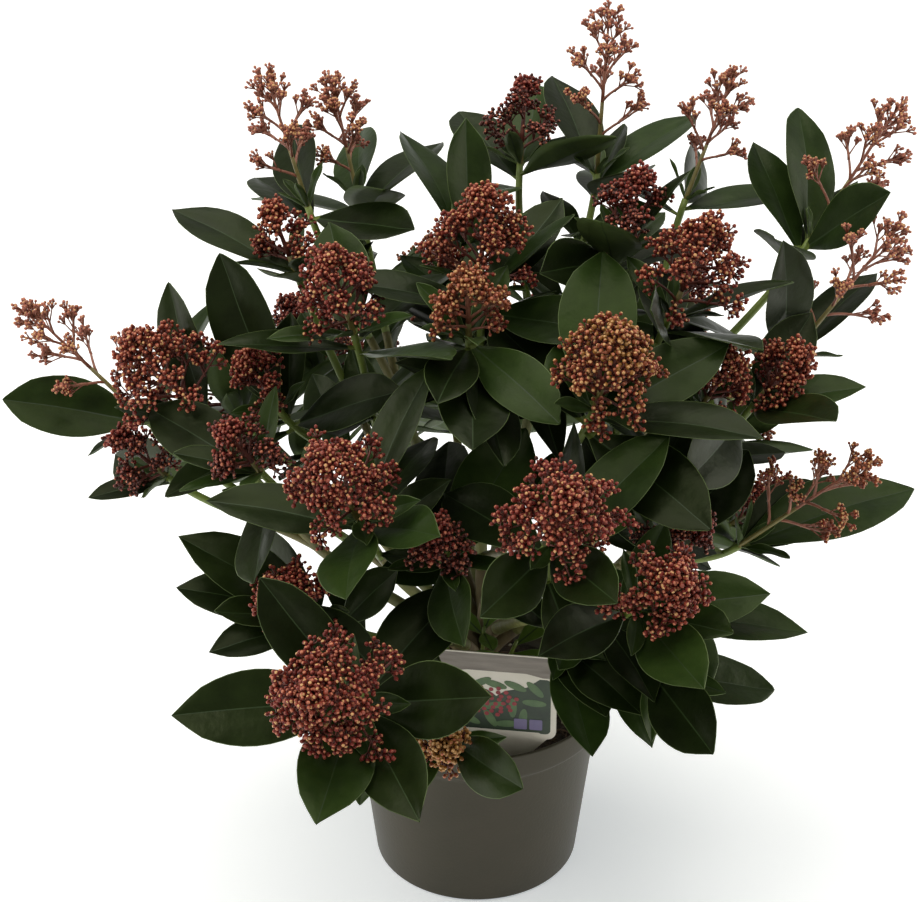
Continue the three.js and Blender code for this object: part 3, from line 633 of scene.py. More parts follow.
def plan_mass(name, start_share, lift, shoots):
    """The bough's curve and its fork."""
    centre = sum(s.rosette for s in shoots) / len(shoots)
    axis = unit(sum(s.axis for s in shoots))
    start = stem_curve.at(start_share)
    fork = mix(start, centre, BOUGH.share) + UP * lift
    heading = unit(mix(unit(centre - fork), axis, 0.3))
    length = np.linalg.norm(fork - start)
    outward = unit(mix(unit(centre - start), UP, 0.4))
    curve = Curve(start, start + outward * length * 0.35, fork - heading * length * 0.35, fork)
    return Named(name=name, shoots=shoots, curve=curve, fork=fork, heading=heading)


def twig_curve(mass, order, place):
    root = mass.fork + mass.heading * TWIG.root_length * mix(0.5, 0.8, order / 3)
    reach = np.linalg.norm(place.rosette - root)
    outward = unit(mix(unit(place.rosette - root), mass.heading, 0.5))
    return Curve(
        root,
        root + outward * reach * 0.3,
        place.rosette - place.axis * reach * 0.35,
        place.rosette,
    )


def on_twig(place, back):
    """The point of the twig this far below the rosette."""
    return place.twig.at(1 - back / place.twig.length)


def ruled_leaf(place, turn, splay, length, roll):
    """A leaf by the rule: turn is clockwise round the twig from uphill."""
    c, s = cos_sin(splay)
    direction = place.axis * c + around(place, turn) * s
    face = unit(place.axis - direction * np.dot(place.axis, direction))
    return Named(direction=direction, face=turned(face, direction, -roll), length=length)


def aimed_leaf(place, root, own):
    """The leaf whose tip, after its drop, is seen at its own place."""
    across, down, length, show = own
    way = ray(across, down)
    tilt = math.acos(show)
    drop = np.zeros(3)
    side = 0
    for _ in range(AIM_STEPS):
        start = eye + drop - root
        square = -np.dot(start, way) / np.dot(way, way)
        shortest = np.linalg.norm(start + way * square)
        reach = max(abs(length), shortest)
        slant = math.sqrt((reach**2 - shortest**2) / np.dot(way, way))
        direction = unit(start + way * (square - np.sign(length) * slant))
        broad = unit(eye - root - direction * np.dot(eye - root, direction))
        edge = np.cross(direction, broad)
        side = side or (-1 if np.dot(edge, place.axis) < 0 else 1)
        face = broad * math.cos(tilt) + edge * math.sin(tilt) * side
        drop = mix(drop, face * LEAF.arch * reach, 0.5)
    return Named(direction=direction, face=face, length=reach)


def plan_leaves(place, random):
    """Every leaf of a shoot, oldest first, as in the source."""
    leaves = []
    count = place.leaves + len(place.own)
    for k in range(place.leaves):
        youth = k / place.leaves
        turn = place.first_leaf + GOLDEN_ANGLE * k + (random() - 0.5) * 16
        splay = mix(LEAF.outer_splay, LEAF.inner_splay, youth) + (random() - 0.5) * 14
        length = LEAF.length * mix(1.06, 0.88, youth) * random(0.9, 1.1)
        leaves.append(ruled_leaf(place, turn, splay, length, (random() - 0.5) * 40))
    for own in place.own:
        root = on_twig(place, (count - len(leaves)) * LEAF.spacing)
        leaves.append(aimed_leaf(place, root, own))
    for k, leaf in enumerate(leaves):
        leaf.root = on_twig(place, (count - k) * LEAF.spacing)
        leaf.width = leaf.length * LEAF.slimness * random(0.93, 1.07)
    return leaves


def set_leaf(place, leaf, swing=0, bend=0):
    """Root, direction, face and length of a leaf, swung round its twig and bent off its tip."""
    direction = turned(leaf.direction, place.axis, -swing)
    face = turned(leaf.face, place.axis, -swing)
    hinge = unit(np.cross(place.axis, direction))
    direction, face = turned(direction, hinge, bend), turned(face, hinge, bend)
    root = leaf.root - direction * LEAF.sunk
    return root, direction, face, leaf.length + LEAF.sunk


masses = []
all_shoots = []
for name, start_share, lift, rows in BOUGHS:
    shoots = [place_shoot(row) for row in rows]
    all_shoots += shoots
    masses.append((name, start_share, lift, shoots))
fit_heads(all_shoots)
masses = [plan_mass(*mass) for mass in masses]
FOLIAGE = ["foliage_" + mass.name for mass in masses]
LIMBS = ["bough_" + mass.name for mass in masses]

# ---- leaves
# The source swings or bends a leaf out of its neighbours' way by one of these pairs of degrees.
# Its solid's corners tell by which.
POSTURES = [
    (0, 0), (6, 0), (-6, 0), (0, 6), (0, -6), (12, 0), (-12, 0), (0, 12), (0, -12),
    (20, 8), (-20, 8), (20, -8), (-20, -8), (34, 0), (-34, 0),
]
SHED = {("back_right", 2): (1, 4)}  # leaves that hung where the crown is open
CORNERS_SEEN = 3  # of the five of a leaf's solid that have to be found
CORNER_REACH = 0.3
TRIES = 9  # postures tried for a leaf of the render
ROLL = (-20, 20)
SOLID_LEAF = ((0.38, 0.42, 0), (0.76, 0.4, 0.35), (1, 0, 1), (0.76, -0.4, 0.35), (0.38, -0.42, 0))


def corner_tree(node):
    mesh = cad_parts[node].data
    tree = KDTree(len(mesh.vertices))
    for i, vertex in enumerate(mesh.vertices):
        tree.insert(vertex.co / MM, i)
    tree.balance()
    return tree


def matches(tree, placed, width):
    """How many of a leaf's five corners its mass's solid has there."""
    root, direction, face, length = placed
    across = np.cross(direction, face)
    found = 0
    for share, side, drop in SOLID_LEAF:
        corner = root + direction * length * share + across * width * side
        corner = corner - face * LEAF.arch * length * drop
        found += tree.find(corner)[2] < CORNER_REACH
    return found


def blade(placed, width, character):
    """A leaf's points: rings from petiole to tip, then its root and its tip."""
    root, direction, face, length = placed
    across = np.cross(direction, face)
    arch, bend, wave, phase, twist, blunt = character
    t = np.linspace(0.015, 0.985, BLADE.rings)
    half = 0.5 * width * np.sin(math.pi * t**1.25) ** (0.95 - blunt * t)
    start, run = BLADE.point
    half *= 1 - BLADE.drawn_in * np.maximum(0, (t - start) / run) ** 1.5
    half = np.maximum(half, BLADE.petiole * (1 - t) * (t < 0.5))
    rim = 1 - np.minimum(BLADE.margin / half, 0.4)
    rib = np.minimum(BLADE.rib * (1.15 - 0.75 * t) / half, 0.3)
    one = np.ones_like(t)
    top = np.stack([-one, -rim, -0.62 * one, -0.3 * one - rib * 0.2, -rib,
                    rib, 0.3 * one + rib * 0.2, 0.62 * one, rim, one], axis=1)
    low = np.stack([0.55 * one, rib * 1.2, -rib * 1.2, -0.55 * one], axis=1)
    u = np.concatenate([top, low], axis=1)
    side = u * half[:, None]
    # A shallow valley whose edges curl back, over an arching midrib.
    rise = LEAF.fold * width * (1.25 * np.abs(u) - 0.45 * np.abs(u) ** 3 - 0.55)
    rise = rise * np.minimum(1, half / (0.35 * width))[:, None]
    rise += wave * np.sin(t * 11 + phase)[:, None] * np.abs(u) ** 2 * np.sign(u)
    rise += side * math.sin(math.radians(twist)) * t[:, None]
    thin = BLADE.thickness * np.minimum(1, half / 3 + 0.3)[:, None]
    rise[:, 4:6] -= 0.18 * thin
    rise[:, 10:] -= thin
    rise[:, 11:13] -= 0.8 * thin
    fall = LEAF.arch * length * (t**3.2) * arch
    swing = bend * length * t**2
    points = (
        root
        + direction * (length * t)[:, None, None]
        + across * (side + swing[:, None])[:, :, None]
        + face * (rise - fall[:, None])[:, :, None]
    )
    tip = root + direction * length + across * bend * length
    tip = tip - face * LEAF.arch * length * arch
    return np.concatenate([points.reshape(-1, 3), [root, tip]])


def blade_faces():
    """Faces of a leaf, grouped by finish; None stands for the upper side's green."""
    kinds = [MARGIN, None, None, None, MIDRIB, None, None, None, MARGIN,
             UNDER, UNDER, MIDRIB, UNDER, UNDER]
    groups = {}
    last, first = (BLADE.rings - 1) * RING, BLADE.rings * RING
    for j, kind in enumerate(kinds):
        k = (j + 1) % RING
        for a in range(0, last, RING):
            key = (kind if a else PETIOLE, 4)
            groups.setdefault(key, []).append([a + j, a + RING + j, a + RING + k, a + k])
        groups.setdefault((PETIOLE, 3), []).append([first, j, k])
        groups.setdefault((kind, 3), []).append([first + 1, last + k, last + j])
    return [(np.array(f), kind) for (kind, _), f in groups.items()]


BLADE_FACES = blade_faces()
UPPER_SHEET = [  # a leaf's upper side in larger faces
    (a + j, a + 2 * RING + j, a + 2 * RING + j + step, a + j + step)
    for a in range(2 * RING, (BLADE.rings - 1) * RING, 2 * RING)
    for j, step in ((0, 2), (2, 2), (4, 1), (5, 2), (7, 2))
]


def sheet_tree(points):
    """The leaf's upper side as a tree that other growth is tested against."""
    return BVHTree.FromPolygons([tuple(p) for p in points], UPPER_SHEET)


def tree_of(sets):
    """One tree of several sets of points and faces."""
    points, faces = [], []
    for own, corners in sets:
        faces += [tuple(int(c) + len(points) for c in face) for face in corners]
        points += [tuple(p) for p in own]
    return BVHTree.FromPolygons(points, faces)


def tree_of_solids(*names):
    meshes = [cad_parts[node].data for node in names]
    return tree_of(
        ([v.co / MM for v in mesh.vertices], [face.vertices for face in mesh.polygons])
        for mesh in meshes
    )


for m, mass in enumerate(masses):
    tree = corner_tree("foliage_" + mass.name)
    for s, place in enumerate(mass.shoots):
        random = seeded(1000 * m + 10 * s + 7)
        place.key = (mass.name, s)
        place.twig = twig_curve(mass, s, place)
        if place.spread:
            for _ in range(HEAD_DRAWS[place.kind]):
                random()
        place.set = []
        for leaf in plan_leaves(place, random):
            options = [set_leaf(place, leaf, *posture) for posture in POSTURES]
            counts = [matches(tree, option, leaf.width) for option in options]
            if max(counts) >= CORNERS_SEEN:
                place.set.append((options[counts.index(max(counts))], leaf.width))
        for k in sorted(SHED.get(place.key, ()), reverse=True):
            del place.set[k]

leaf_batch = Batch()
leaf_trees = []  # (lowest corner, highest corner, tree) of every leaf so far
leaf_random = seeded(4711)


def box_of(points, margin=0.3):
    return points.min(axis=0) - margin, points.max(axis=0) + margin


def crossings(points):
    """How much a leaf would cut through those already there."""
    low, high = box_of(points)
    tree, count = None, 0
    for other_low, other_high, other in leaf_trees:
        if (low > other_high).any() or (high < other_low).any():
            continue
        tree = tree or sheet_tree(points)
        count += len(tree.overlap(other))
    return count


# Limits of a leaf's arch, bend, wave, the wave's phase, twist in degrees, and bluntness.
CHARACTER = ((0.6, 1.5), (-0.05, 0.05), (0.2, 0.9), (0, 6.3), (-14, 14), (0.12, 0.42))
PLAIN = (1, 0, 0.5, 0, 0, 0.25)


def grow_leaf(placed, width, upper, most=None):
    """Adds the leaf in whichever of a few postures clears its neighbours best, unless it still
    cuts through them more than is allowed."""
    best = None
    for attempt in range(TRIES):
        posture = placed
        character = [leaf_random(*limits) for limits in CHARACTER]
        if attempt:
            root, direction, face, length = placed
            tilt = 2.0 + attempt
            across = np.cross(direction, face)
            direction = unit(turned(direction, face, leaf_random(-tilt, tilt)))
            direction = unit(turned(direction, across, leaf_random(-tilt, tilt)))
            face = unit(face - direction * np.dot(face, direction))
            face = turned(face, direction, leaf_random(-tilt, tilt))
            posture = (root, direction, face, length)
        points = blade(posture, width, character)
        cut = crossings(points)
        if best is None or cut < best[0]:
            best = (cut, points)
        if cut == 0:
            break
    cut, points = best
    if most is None or cut <= most:
        leaf_trees.append((*box_of(points), sheet_tree(points)))
        leaf_batch.add(points, BLADE_FACES, upper)


for place in all_shoots:
    for placed, width in place.set:
        upper = min(UPPERS - 1, int(leaf_random() ** 1.3 * UPPERS))
        grow_leaf(placed, width, upper)

# Finer growth in the same space: smaller leaves on the inner twig, and a ruff of young ones
# under the panicle. Whatever would cut through a neighbour is left out, and so is a leaf in
# front of the plant label. Some twigs are bare below their own leaves.
INNER = Named(
    usual=5, splay=(48, 76), length=(42, 68), slimness=(0.36, 0.44),
    along=(0.2, 0.74),  # shares of the twig's length below the rosette
)
INNER_LEAVES = {"top": 11, "back": 10, "top_front": 9, "right_front": 8, "back_right": 8}
RUFF = {"dome": ((46, 66), (30, 52)), "open": ((30, 50), (18, 34))}  # splays and lengths
RUFF_LEAVES, RUFF_SLIMNESS = 4, (0.26, 0.34)
BARE = {
    ("left", 0), ("left", 1), ("left", 2), ("right_low", 0), ("left_front", 1),
    ("right_high", 0), ("right_high", 2), ("back_left_high", 0),
}
SPROUT = Named(  # young shoots from the stem's foot, behind the label
    tops=((4, -50, 200), (24, -47, 188), (-20, -46, 188)), leaves=6, length=(24, 36),
    splay=(84, 44), spacing=3,
)
card_tree = tree_of_solids("plant_label")
hard_tree = tree_of_solids("plant_label", "pot", "main_stem", *LIMBS)


def hides_label(placed, width):
    """Whether a leaf's middle line or edges come between the viewer and the label."""
    root, direction, face, length = placed
    across = np.cross(direction, face) * width / 2
    for share in (0.25, 0.5, 0.75, 1):
        for side in (-1, 0, 1):
            point = root + direction * length * share + across * side
            if card_tree.ray_cast(Vector(point), Vector(unit(point - eye)))[0] is not None:
                return True
    return False


def drawn_leaf(place, turn, splays, lengths):
    """A leaf by the rule, its splay, length and roll drawn from between limits."""
    drawn = [leaf_random(*limits) for limits in (splays, lengths, ROLL)]
    return ruled_leaf(place, turn, *drawn)


for place in all_shoots:
    inner = 0 if place.key in BARE else INNER_LEAVES.get(place.key[0], INNER.usual)
    for k in range(inner):
        turn = place.first_leaf + 40 + GOLDEN_ANGLE * k
        leaf = drawn_leaf(place, turn, INNER.splay, INNER.length)
        back = place.twig.length * mix(*INNER.along, (k + leaf_random()) / inner)
        leaf.root = on_twig(place, back)
        width = leaf.length * leaf_random(*INNER.slimness)
        upper = int(leaf_random() * UPPERS)
        placed = set_leaf(place, leaf)
        if not hides_label(placed, width):
            grow_leaf(placed, width, upper, most=0)
    for k in range(RUFF_LEAVES):
        turn = place.first_leaf + 80 + GOLDEN_ANGLE * k
        leaf = drawn_leaf(place, turn, *RUFF[place.kind])
        leaf.root = on_twig(place, 0.5)
        width = leaf.length * leaf_random(*RUFF_SLIMNESS)
        grow_leaf(set_leaf(place, leaf), width, UPPERS - 1, most=0)

sprouts = []
for top in SPROUT.tops:
    top = np.array(top, dtype=float)
    out = unit(top * (1, 1, 0))
    foot = out * STEM.radius * 0.6 + UP * (compost_top + 3)
    axis = unit(top - foot + UP * 25)
    line = Curve(foot, foot + out * 14 + UP * 6, top - axis * 14, top)
    uphill, sideways = square_to(axis)
    place = Named(axis=axis, uphill=uphill, sideways=sideways, twig=line)
    sprouts.append(line)
    for k in range(SPROUT.leaves):
        splay = mix(*SPROUT.splay, k / (SPROUT.leaves - 1))
        length = leaf_random(*SPROUT.length)
        leaf = ruled_leaf(place, GOLDEN_ANGLE * k, splay, length, leaf_random(*ROLL))
        leaf.root = on_twig(place, (SPROUT.leaves - k) * SPROUT.spacing)
        placed = set_leaf(place, leaf)
        plain = blade(placed, length * 0.4, PLAIN)
        if not sheet_tree(plain).overlap(hard_tree):
            grow_leaf(placed, length * 0.4, YOUNG, most=0)

# ---- panicles
HUES = {  # finishes of a head's buds, from its foot to its top, darker at the foot and lighter and oranger at the top as painted shade and light, and of their tips
    "crimson": ((SHADED_RED, CRIMSON, CRIMSON, BRICK), (SALMON, SALMON, STRAW, ROSE)),
    "brick": ((CRIMSON, CRIMSON, BRICK, BRICK), (SALMON, SALMON, STRAW)),
    "russet": ((CRIMSON, BRICK, RUSSET, RUSSET), (SALMON, STRAW, STRAW)),
    "amber_brick": ((CRIMSON, BRICK, RUSSET, AMBER), (STRAW, STRAW, SALMON)),
    "amber": ((RUSSET, AMBER, AMBER), (STRAW, STRAW, SALMON)),
    "tan": ((BRICK, TAN, TAN), (STRAW, STRAW, SALMON)),
    # painted shade: dark buds and darker tips for a head that lies in shade
    "wine": ((SHADED_RED, SHADED_RED, CRIMSON), (ROSE, ROSE, SALMON)),
}
HEAD_HUES = {  # of each mass, shoot by shoot; a head that lies in shade gets the darkest hue, painted shade
    "front_left": "crimson crimson amber",
    "front_right": "crimson crimson wine",
    "right_low": "russet brick",
    "front_high": "amber_brick wine",
    "left_front": "crimson wine",
    "left": "tan brick wine",
    "left_high": "crimson crimson brick",
    "top_front": "brick russet",
    "back_left_high": "tan tan",
    "top": "tan wine wine",
    "right_high": "tan tan tan",
    "right_front": "brick brick",
    "back_left": "brick wine crimson",
    "back": "russet brick wine",
    "back_right": "brick russet crimson",
}

every_leaf = tree_of(
    (points, [face for faces, _ in groups for face in faces]) for points, groups in leaf_batch.parts
)


def grow_limb(batch, line, thick, cut, sides, finishes, reliefs=(None, None), slim=0.99):
    """A limb in two finishes that meet at one of its rings."""
    batch.add(*tube(line[: cut + 1], thick[: cut + 1], sides, reliefs[0]), finishes[0])
    batch.add(*tube(line[cut:], thick[cut:] * slim, sides, reliefs[1]), finishes[1])


def clear(start, end, margin=0.2):
    """Whether a straight stalk passes no leaf."""
    way = end - start
    length = float(np.linalg.norm(way))
    hit = every_leaf.ray_cast(Vector(start), Vector(way / length), length + margin)
    return hit[0] is None


stalk_batch = Batch()
thin_stalks = {RED: [], BROWN: []}  # (foot, end) of each
buds = []  # (centre, direction, radius, body finish, tip finish)


def cone(axis, splay, turn):
    """A direction at an angle to an axis."""
    u, v = square_to(axis)
    (c, s), (across, over) = cos_sin(splay), cos_sin(turn)
    return axis * c + (u * across + v * over) * s


def grow_umbel(root, heading, count, head, random):
    """A few buds on short pedicels, lighter and oranger higher in the panicle and darker lower
    down: painted light and shade.
    """
    bodies, tips = HUES[head.hue]
    level = float((root - head.foot) @ head.axis) / head.height
    turn = random() * 360
    for k in range(count):
        splay = UMBEL.first_splay * random() if k == 0 else random(*head.spread)
        turn += 360 / max(1, count - 1) + (random() - 0.5) * UMBEL.swing
        direction = cone(heading, splay, turn)
        length = head.pedicel * random(*UMBEL.pedicel) * (UMBEL.first_pedicel if k == 0 else 1)
        radius = head.bud * random(*UMBEL.bud)
        centre = root + direction * (length + radius)
        if every_leaf.find_nearest(Vector(centre), radius * 0.9)[0] is not None:
            continue
        thin_stalks[head.stalk].append((root, centre))
        # painted light and shade: buds lighter and oranger up the head, darker at its foot
        lightness = min(0.99, max(0.0, mix(random(), level, UMBEL.ripeness)))
        body, tip = bodies[int(lightness * len(bodies))], tips[int(random() * len(tips))]
        buds.append((centre, direction, radius, body, tip))


def grow_spray(curve, heading, size, stalks, head, random):
    """The branching end of a panicle's branch."""
    scale = size / SPRAY.size
    turn = random() * 360
    for k in range(stalks):
        turn += GOLDEN_ANGLE
        share = mix(*SPRAY.along, k / max(1, stalks - 1))
        root = curve.at(share)
        splay = mix(*head.splay, share) + (random() - 0.5) * SPRAY.swing
        direction = cone(heading, splay, turn)
        length = head.stalk_length * scale * random(*SPRAY.stalk)
        tip = root + direction * length
        if not clear(root, tip):
            continue
        thin_stalks[head.stalk].append((root, tip))
        lean = unit(direction + heading * SPRAY.lean)
        grow_umbel(tip, lean, head.umbel - (random() < SPRAY.short), head, random)
    grow_umbel(curve.at(1.0), heading, head.umbel + 1, head, random)


def grow_branch(root, tip, axis, heading, size, stalks, head, random):
    """One curved side branch with its spray; left out where a leaf is in its way."""
    reach = np.linalg.norm(tip - root)
    rise = unit(unit(tip - root) + axis * BRANCH.rise)
    curve = Curve(root, root + rise * reach * BRANCH.rise, tip - heading * reach * BRANCH.end, tip)
    middle = curve.at(0.5)
    if not (clear(root, middle) and clear(middle, tip)):
        return
    line = curve.at(np.linspace(0, 1, BRANCH.rings))
    thick = np.linspace(*BRANCH.radii, BRANCH.rings)
    stalk_batch.add(*tube(line, thick, BRANCH.sides), head.stalk)
    grow_spray(curve, heading, size, stalks, head, random)


def grow_dome(place, head, random):
    """Tiers of branches that close up towards a round top, every second one with a lesser
    spray inside the dome."""
    rachis, room, axis = place.rachis, place.room, place.axis
    foot = rachis * FOOT["dome"] * 0.8
    height = rachis - foot
    turn = place.first_leaf
    for share, breadth, number in TIERS:
        number *= (room / DOME.full) ** 2
        count = max(2, round(number * DOME.loose.get(place.key, DOME.share)))
        turn += GOLDEN_ANGLE
        for k in range(count):
            out = around(place, turn + 360 * (k + 0.4 * (random() - 0.5)) / count)
            width = room * breadth * random(*DOME.width)
            width = max(0.5, width - head.pedicel * 2)
            level = (foot + height * share) * random(*DOME.level) - 4
            tip = place.rosette + axis * level + out * width
            low = max(foot * 0.7, level - width * random(*DOME.drop))
            low = min(low, rachis * DOME.top_root, level - 4)
            root = place.rosette + axis * low
            heading = unit(out * width / room + axis * mix(0.05, 1.0, share) + axis * 0.12)
            grow_branch(root, tip, axis, heading, SPRAY.size, head.stalks, head, random)
            if k % 2 == 0 and width > room * 0.4:
                inner = mix(root, tip, DOME.lesser_at)
                lesser = inner + unit(axis + out * 0.3) * width * 0.3
                grow_branch(inner, lesser, axis, unit(axis + out * 0.4),
                            SPRAY.size * SPRAY.lesser, 1, head, random)


def grow_open(place, head, random):
    """Branches set apart up a long rachis, each with one or two loose sprays."""
    rachis, room, axis = place.rachis, place.room, place.axis
    foot = rachis * FOOT["open"]
    for k in range(OPEN.branches):
        share = (k / (OPEN.branches - 1)) ** 0.9
        low = mix(foot * OPEN.roots[0], rachis * OPEN.roots[1], share)
        turn = place.first_leaf + 60 + GOLDEN_ANGLE * k + (random() - 0.5) * 20
        out = around(place, turn)
        splay = math.radians(mix(*OPEN.splay, share) + (random() - 0.5) * 10)
        reach = room * np.interp(share, *OPEN.profile) * random(*OPEN.reach)
        heading = axis * math.cos(splay * 0.8) + out * math.sin(splay * 0.8)
        root = place.rosette + axis * low
        way = axis * math.cos(splay) + out * math.sin(splay)
        tip = root + way * (reach - head.pedicel)
        stalks = head.stalks if share < 0.8 else head.stalks - 1
        grow_branch(root, tip, axis, heading, SPRAY.size, stalks, head, random)
        if share < 0.7:
            side = unit(way + around(place, turn + 90) * random(-0.5, 0.5))
            start = root + way * reach * 0.45
            end = start + side * reach * 0.38
            grow_branch(start, end, axis, side, SPRAY.size * SPRAY.lesser, 2, head, random)


head_random = seeded(2207)
for place in all_shoots:
    if not place.spread:
        continue
    name, s = place.key
    hue = HEAD_HUES[name].split()[s]
    stalk = BROWN if place.kind == "open" or hue == "russet" else RED
    head = Named(**SPRAYS[place.kind], hue=hue, stalk=stalk, foot=place.rosette,
                 axis=place.axis, height=place.rachis)
    top = place.rachis * 0.93
    shares = np.linspace(0, 1, 9)
    line = place.rosette + np.outer(mix(-6, top, shares), place.axis)
    slim, cut = (1.0, 3) if place.kind == "dome" else (0.8, 4)
    thick = np.interp(shares, (0, 0.35, 1), (2.1, 1.7, 0.8)) * slim
    grow_limb(stalk_batch, line, thick, cut, 7, (PALE, stalk))
    grow = grow_open if place.kind == "open" else grow_dome
    grow(place, head, head_random)
    tip_curve = Curve(line[-2], line[-2], line[-1], line[-1])
    grow_spray(tip_curve, place.axis, SPRAY.size, 3, head, head_random)

for stalk, rows in thin_stalks.items():
    stalk_batch.add(*rods(*zip(*rows), *THIN), stalk)


def bud_template():
    """A round bud on the unit sphere, its tip at +Z, and its faces by finish."""
    points = [(0, 0, 1.08)]
    for r, angle in enumerate(np.radians([43, 106])):
        for j in range(BUD_SIDES):
            a = (j + 0.5 * r) / BUD_SIDES * 2 * math.pi
            wide = math.sin(angle)
            points.append((wide * math.cos(a), wide * math.sin(a), math.cos(angle)))
    points.append((0, 0, -1))
    end = len(points) - 1
    cap, body = [], []
    for upper in range(1, 1 + BUD_SIDES):
        next_upper = 1 + upper % BUD_SIDES
        lower, next_lower = upper + BUD_SIDES, next_upper + BUD_SIDES
        cap.append((0, upper, next_upper))
        body += [(upper, lower, next_upper), (next_upper, lower, next_lower)]
        body.append((end, next_lower, lower))
    return np.array(points), np.array(cap), np.array(body)


bud_batch = Batch()
shape, cap, body = bud_template()
for start in range(0, len(buds), BUD_LOT):
    centres, axes, sizes, body_kinds, tip_kinds = zip(*buds[start : start + BUD_LOT])
    axes = np.array(axes)
    basis = np.stack([*square_to_each(axes), axes], axis=1) * np.array(sizes)[:, None, None]
    points = np.einsum("pi,nij->npj", shape, basis) + np.array(centres)[:, None]
    base = (np.arange(len(axes)) * len(shape))[:, None, None]
    faces = np.concatenate([(some[None] + base).reshape(-1, 3) for some in (cap, body)])
    # each bud's cap takes its tip finish: the pale tip, partly a painted highlight
    kinds = np.concatenate([np.repeat(tip_kinds, len(cap)), np.repeat(body_kinds, len(body))])
    bud_batch.parts.append((points.reshape(-1, 3), [(faces, kinds)]))

# ---- stem, boughs and twigs
bark_random = seeded(91)
RIDGES = ((3, 1.0), (5, 2.3), (8, 4.1))  # how many round a limb, and where they start
NODES = 7  # rings along a limb


def bark(depth):
    """Low ridges that wander along a limb, and faint rings at its old nodes."""
    shift = bark_random() * 6

    def relief(share, angles):
        height = np.zeros_like(angles)
        for k, (number, offset) in enumerate(RIDGES):
            height += np.sin(number * angles + offset + shift + 5 * share * (k - 1)) / (k + 2)
        node = math.exp(-((share * NODES % 1 - 0.5) ** 2) / 0.01)
        return 1 + depth * (height + 0.8 * node)

    return relief


stem_batch = Batch()
shares = np.linspace(0, 1, 44)
flare = STEM.flare_height / (STEM.top_z - compost_top)
thick = mix(STEM.radius, STEM.top_radius, shares)
thick = thick + (STEM.foot_radius - STEM.radius) * np.maximum(0, 1 - shares / flare) ** 2
stem_batch.add(*tube(stem_curve.at(shares), thick * 0.98, 28, bark(0.05)), 0)
dress(mesh_of("main_stem_bark", stem_batch.parts, [BARK]), "stem", "main_stem")

bough_batch = Batch()
shares = np.linspace(0, 1, 30)
thick = mix(BOUGH.root_radius, BOUGH.tip_radius, shares) * 0.97
for mass in masses:
    grow_limb(bough_batch, mass.curve.at(shares), thick, 10, 14, (0, 1),
              (bark(0.045), bark(0.03)), slim=1)

twig_batch = Batch()
shares = np.linspace(0, 1, 26)
thick = mix(TWIG.root_radius, TWIG.tip_radius, shares)
for mass in masses:
    root = mass.fork - mass.heading * 1.0
    line = root + np.outer(np.linspace(0, TWIG.root_length, 5), mass.heading)
    joint = np.linspace(BOUGH.tip_radius, TWIG.root_radius, 5)
    twig_batch.add(*tube(line, joint, 10, bark(0.03)), OLIVE)
    for place in mass.shoots:
        grow_limb(twig_batch, place.twig.at(shares), thick, 9, 9, (OLIVE, GREEN),
                  (bark(0.03), bark(0.02)))
shares = np.linspace(0, 1, 14)
for line in sprouts:
    twig_batch.add(*tube(line.at(shares), mix(1.7, 1.1, shares), 7), GREEN)

for label, batch, finishes, slot, nodes in (
    ("boughs", bough_batch, [BARK, YOUNG_BARK], "bough", LIMBS),
    ("leaves", leaf_batch, LEAF_FINISHES, "foliage", FOLIAGE),
    ("panicle_stalks", stalk_batch, TWIG_FINISHES, "foliage", FOLIAGE),
    ("twigs", twig_batch, TWIG_FINISHES, "foliage", FOLIAGE),
    ("buds", bud_batch, BUD_FINISHES, "foliage", FOLIAGE),
):
    for n, lot in enumerate(batch.pieces()):
        dress(mesh_of(f"{label}_{n + 1}", lot, finishes), slot, *nodes)

# ---- pot
PLASTIC = finish(
    "pot_taupe_plastic", [(61, 58, 46), (69, 64, 52)], (0.4, 0.5), 14,
    relief=0.12, relief_scale=500, specular=0.2,
)
slope = (POT.body_top_radius - POT.base_radius) / collar_foot


def body_radius(z):
    return POT.base_radius + slope * z


def lathe(profile, sides):
    """A closed surface of revolution from (radius, height) pairs; both ends lie on the axis."""
    ring, inner = ring_angles(sides), profile[1:-1]
    points = [
        np.stack([np.cos(ring) * r, np.sin(ring) * r, np.full(sides, z)], axis=1)
        for r, z in inner
    ]
    points.append([[0, 0, profile[0][1]], [0, 0, profile[-1][1]]])
    return np.concatenate(points), ring_faces(sides, len(inner))


def rounded(corners, steps=5):
    """A profile whose corners (radius, height, rounding) are turned into short arcs."""
    line = []
    for i, (r, z, size) in enumerate(corners):
        here = np.array([r, z], float)
        if size == 0:
            line.append(here)
            continue
        before = np.array(corners[i - 1][:2], float)
        after = np.array(corners[i + 1][:2], float)
        a = here + unit(before - here) * size
        b = here + unit(after - here) * size
        for t in np.linspace(0, 1, steps):
            line.append(a * (1 - t) ** 2 + 2 * here * t * (1 - t) + b * t**2)
    return line


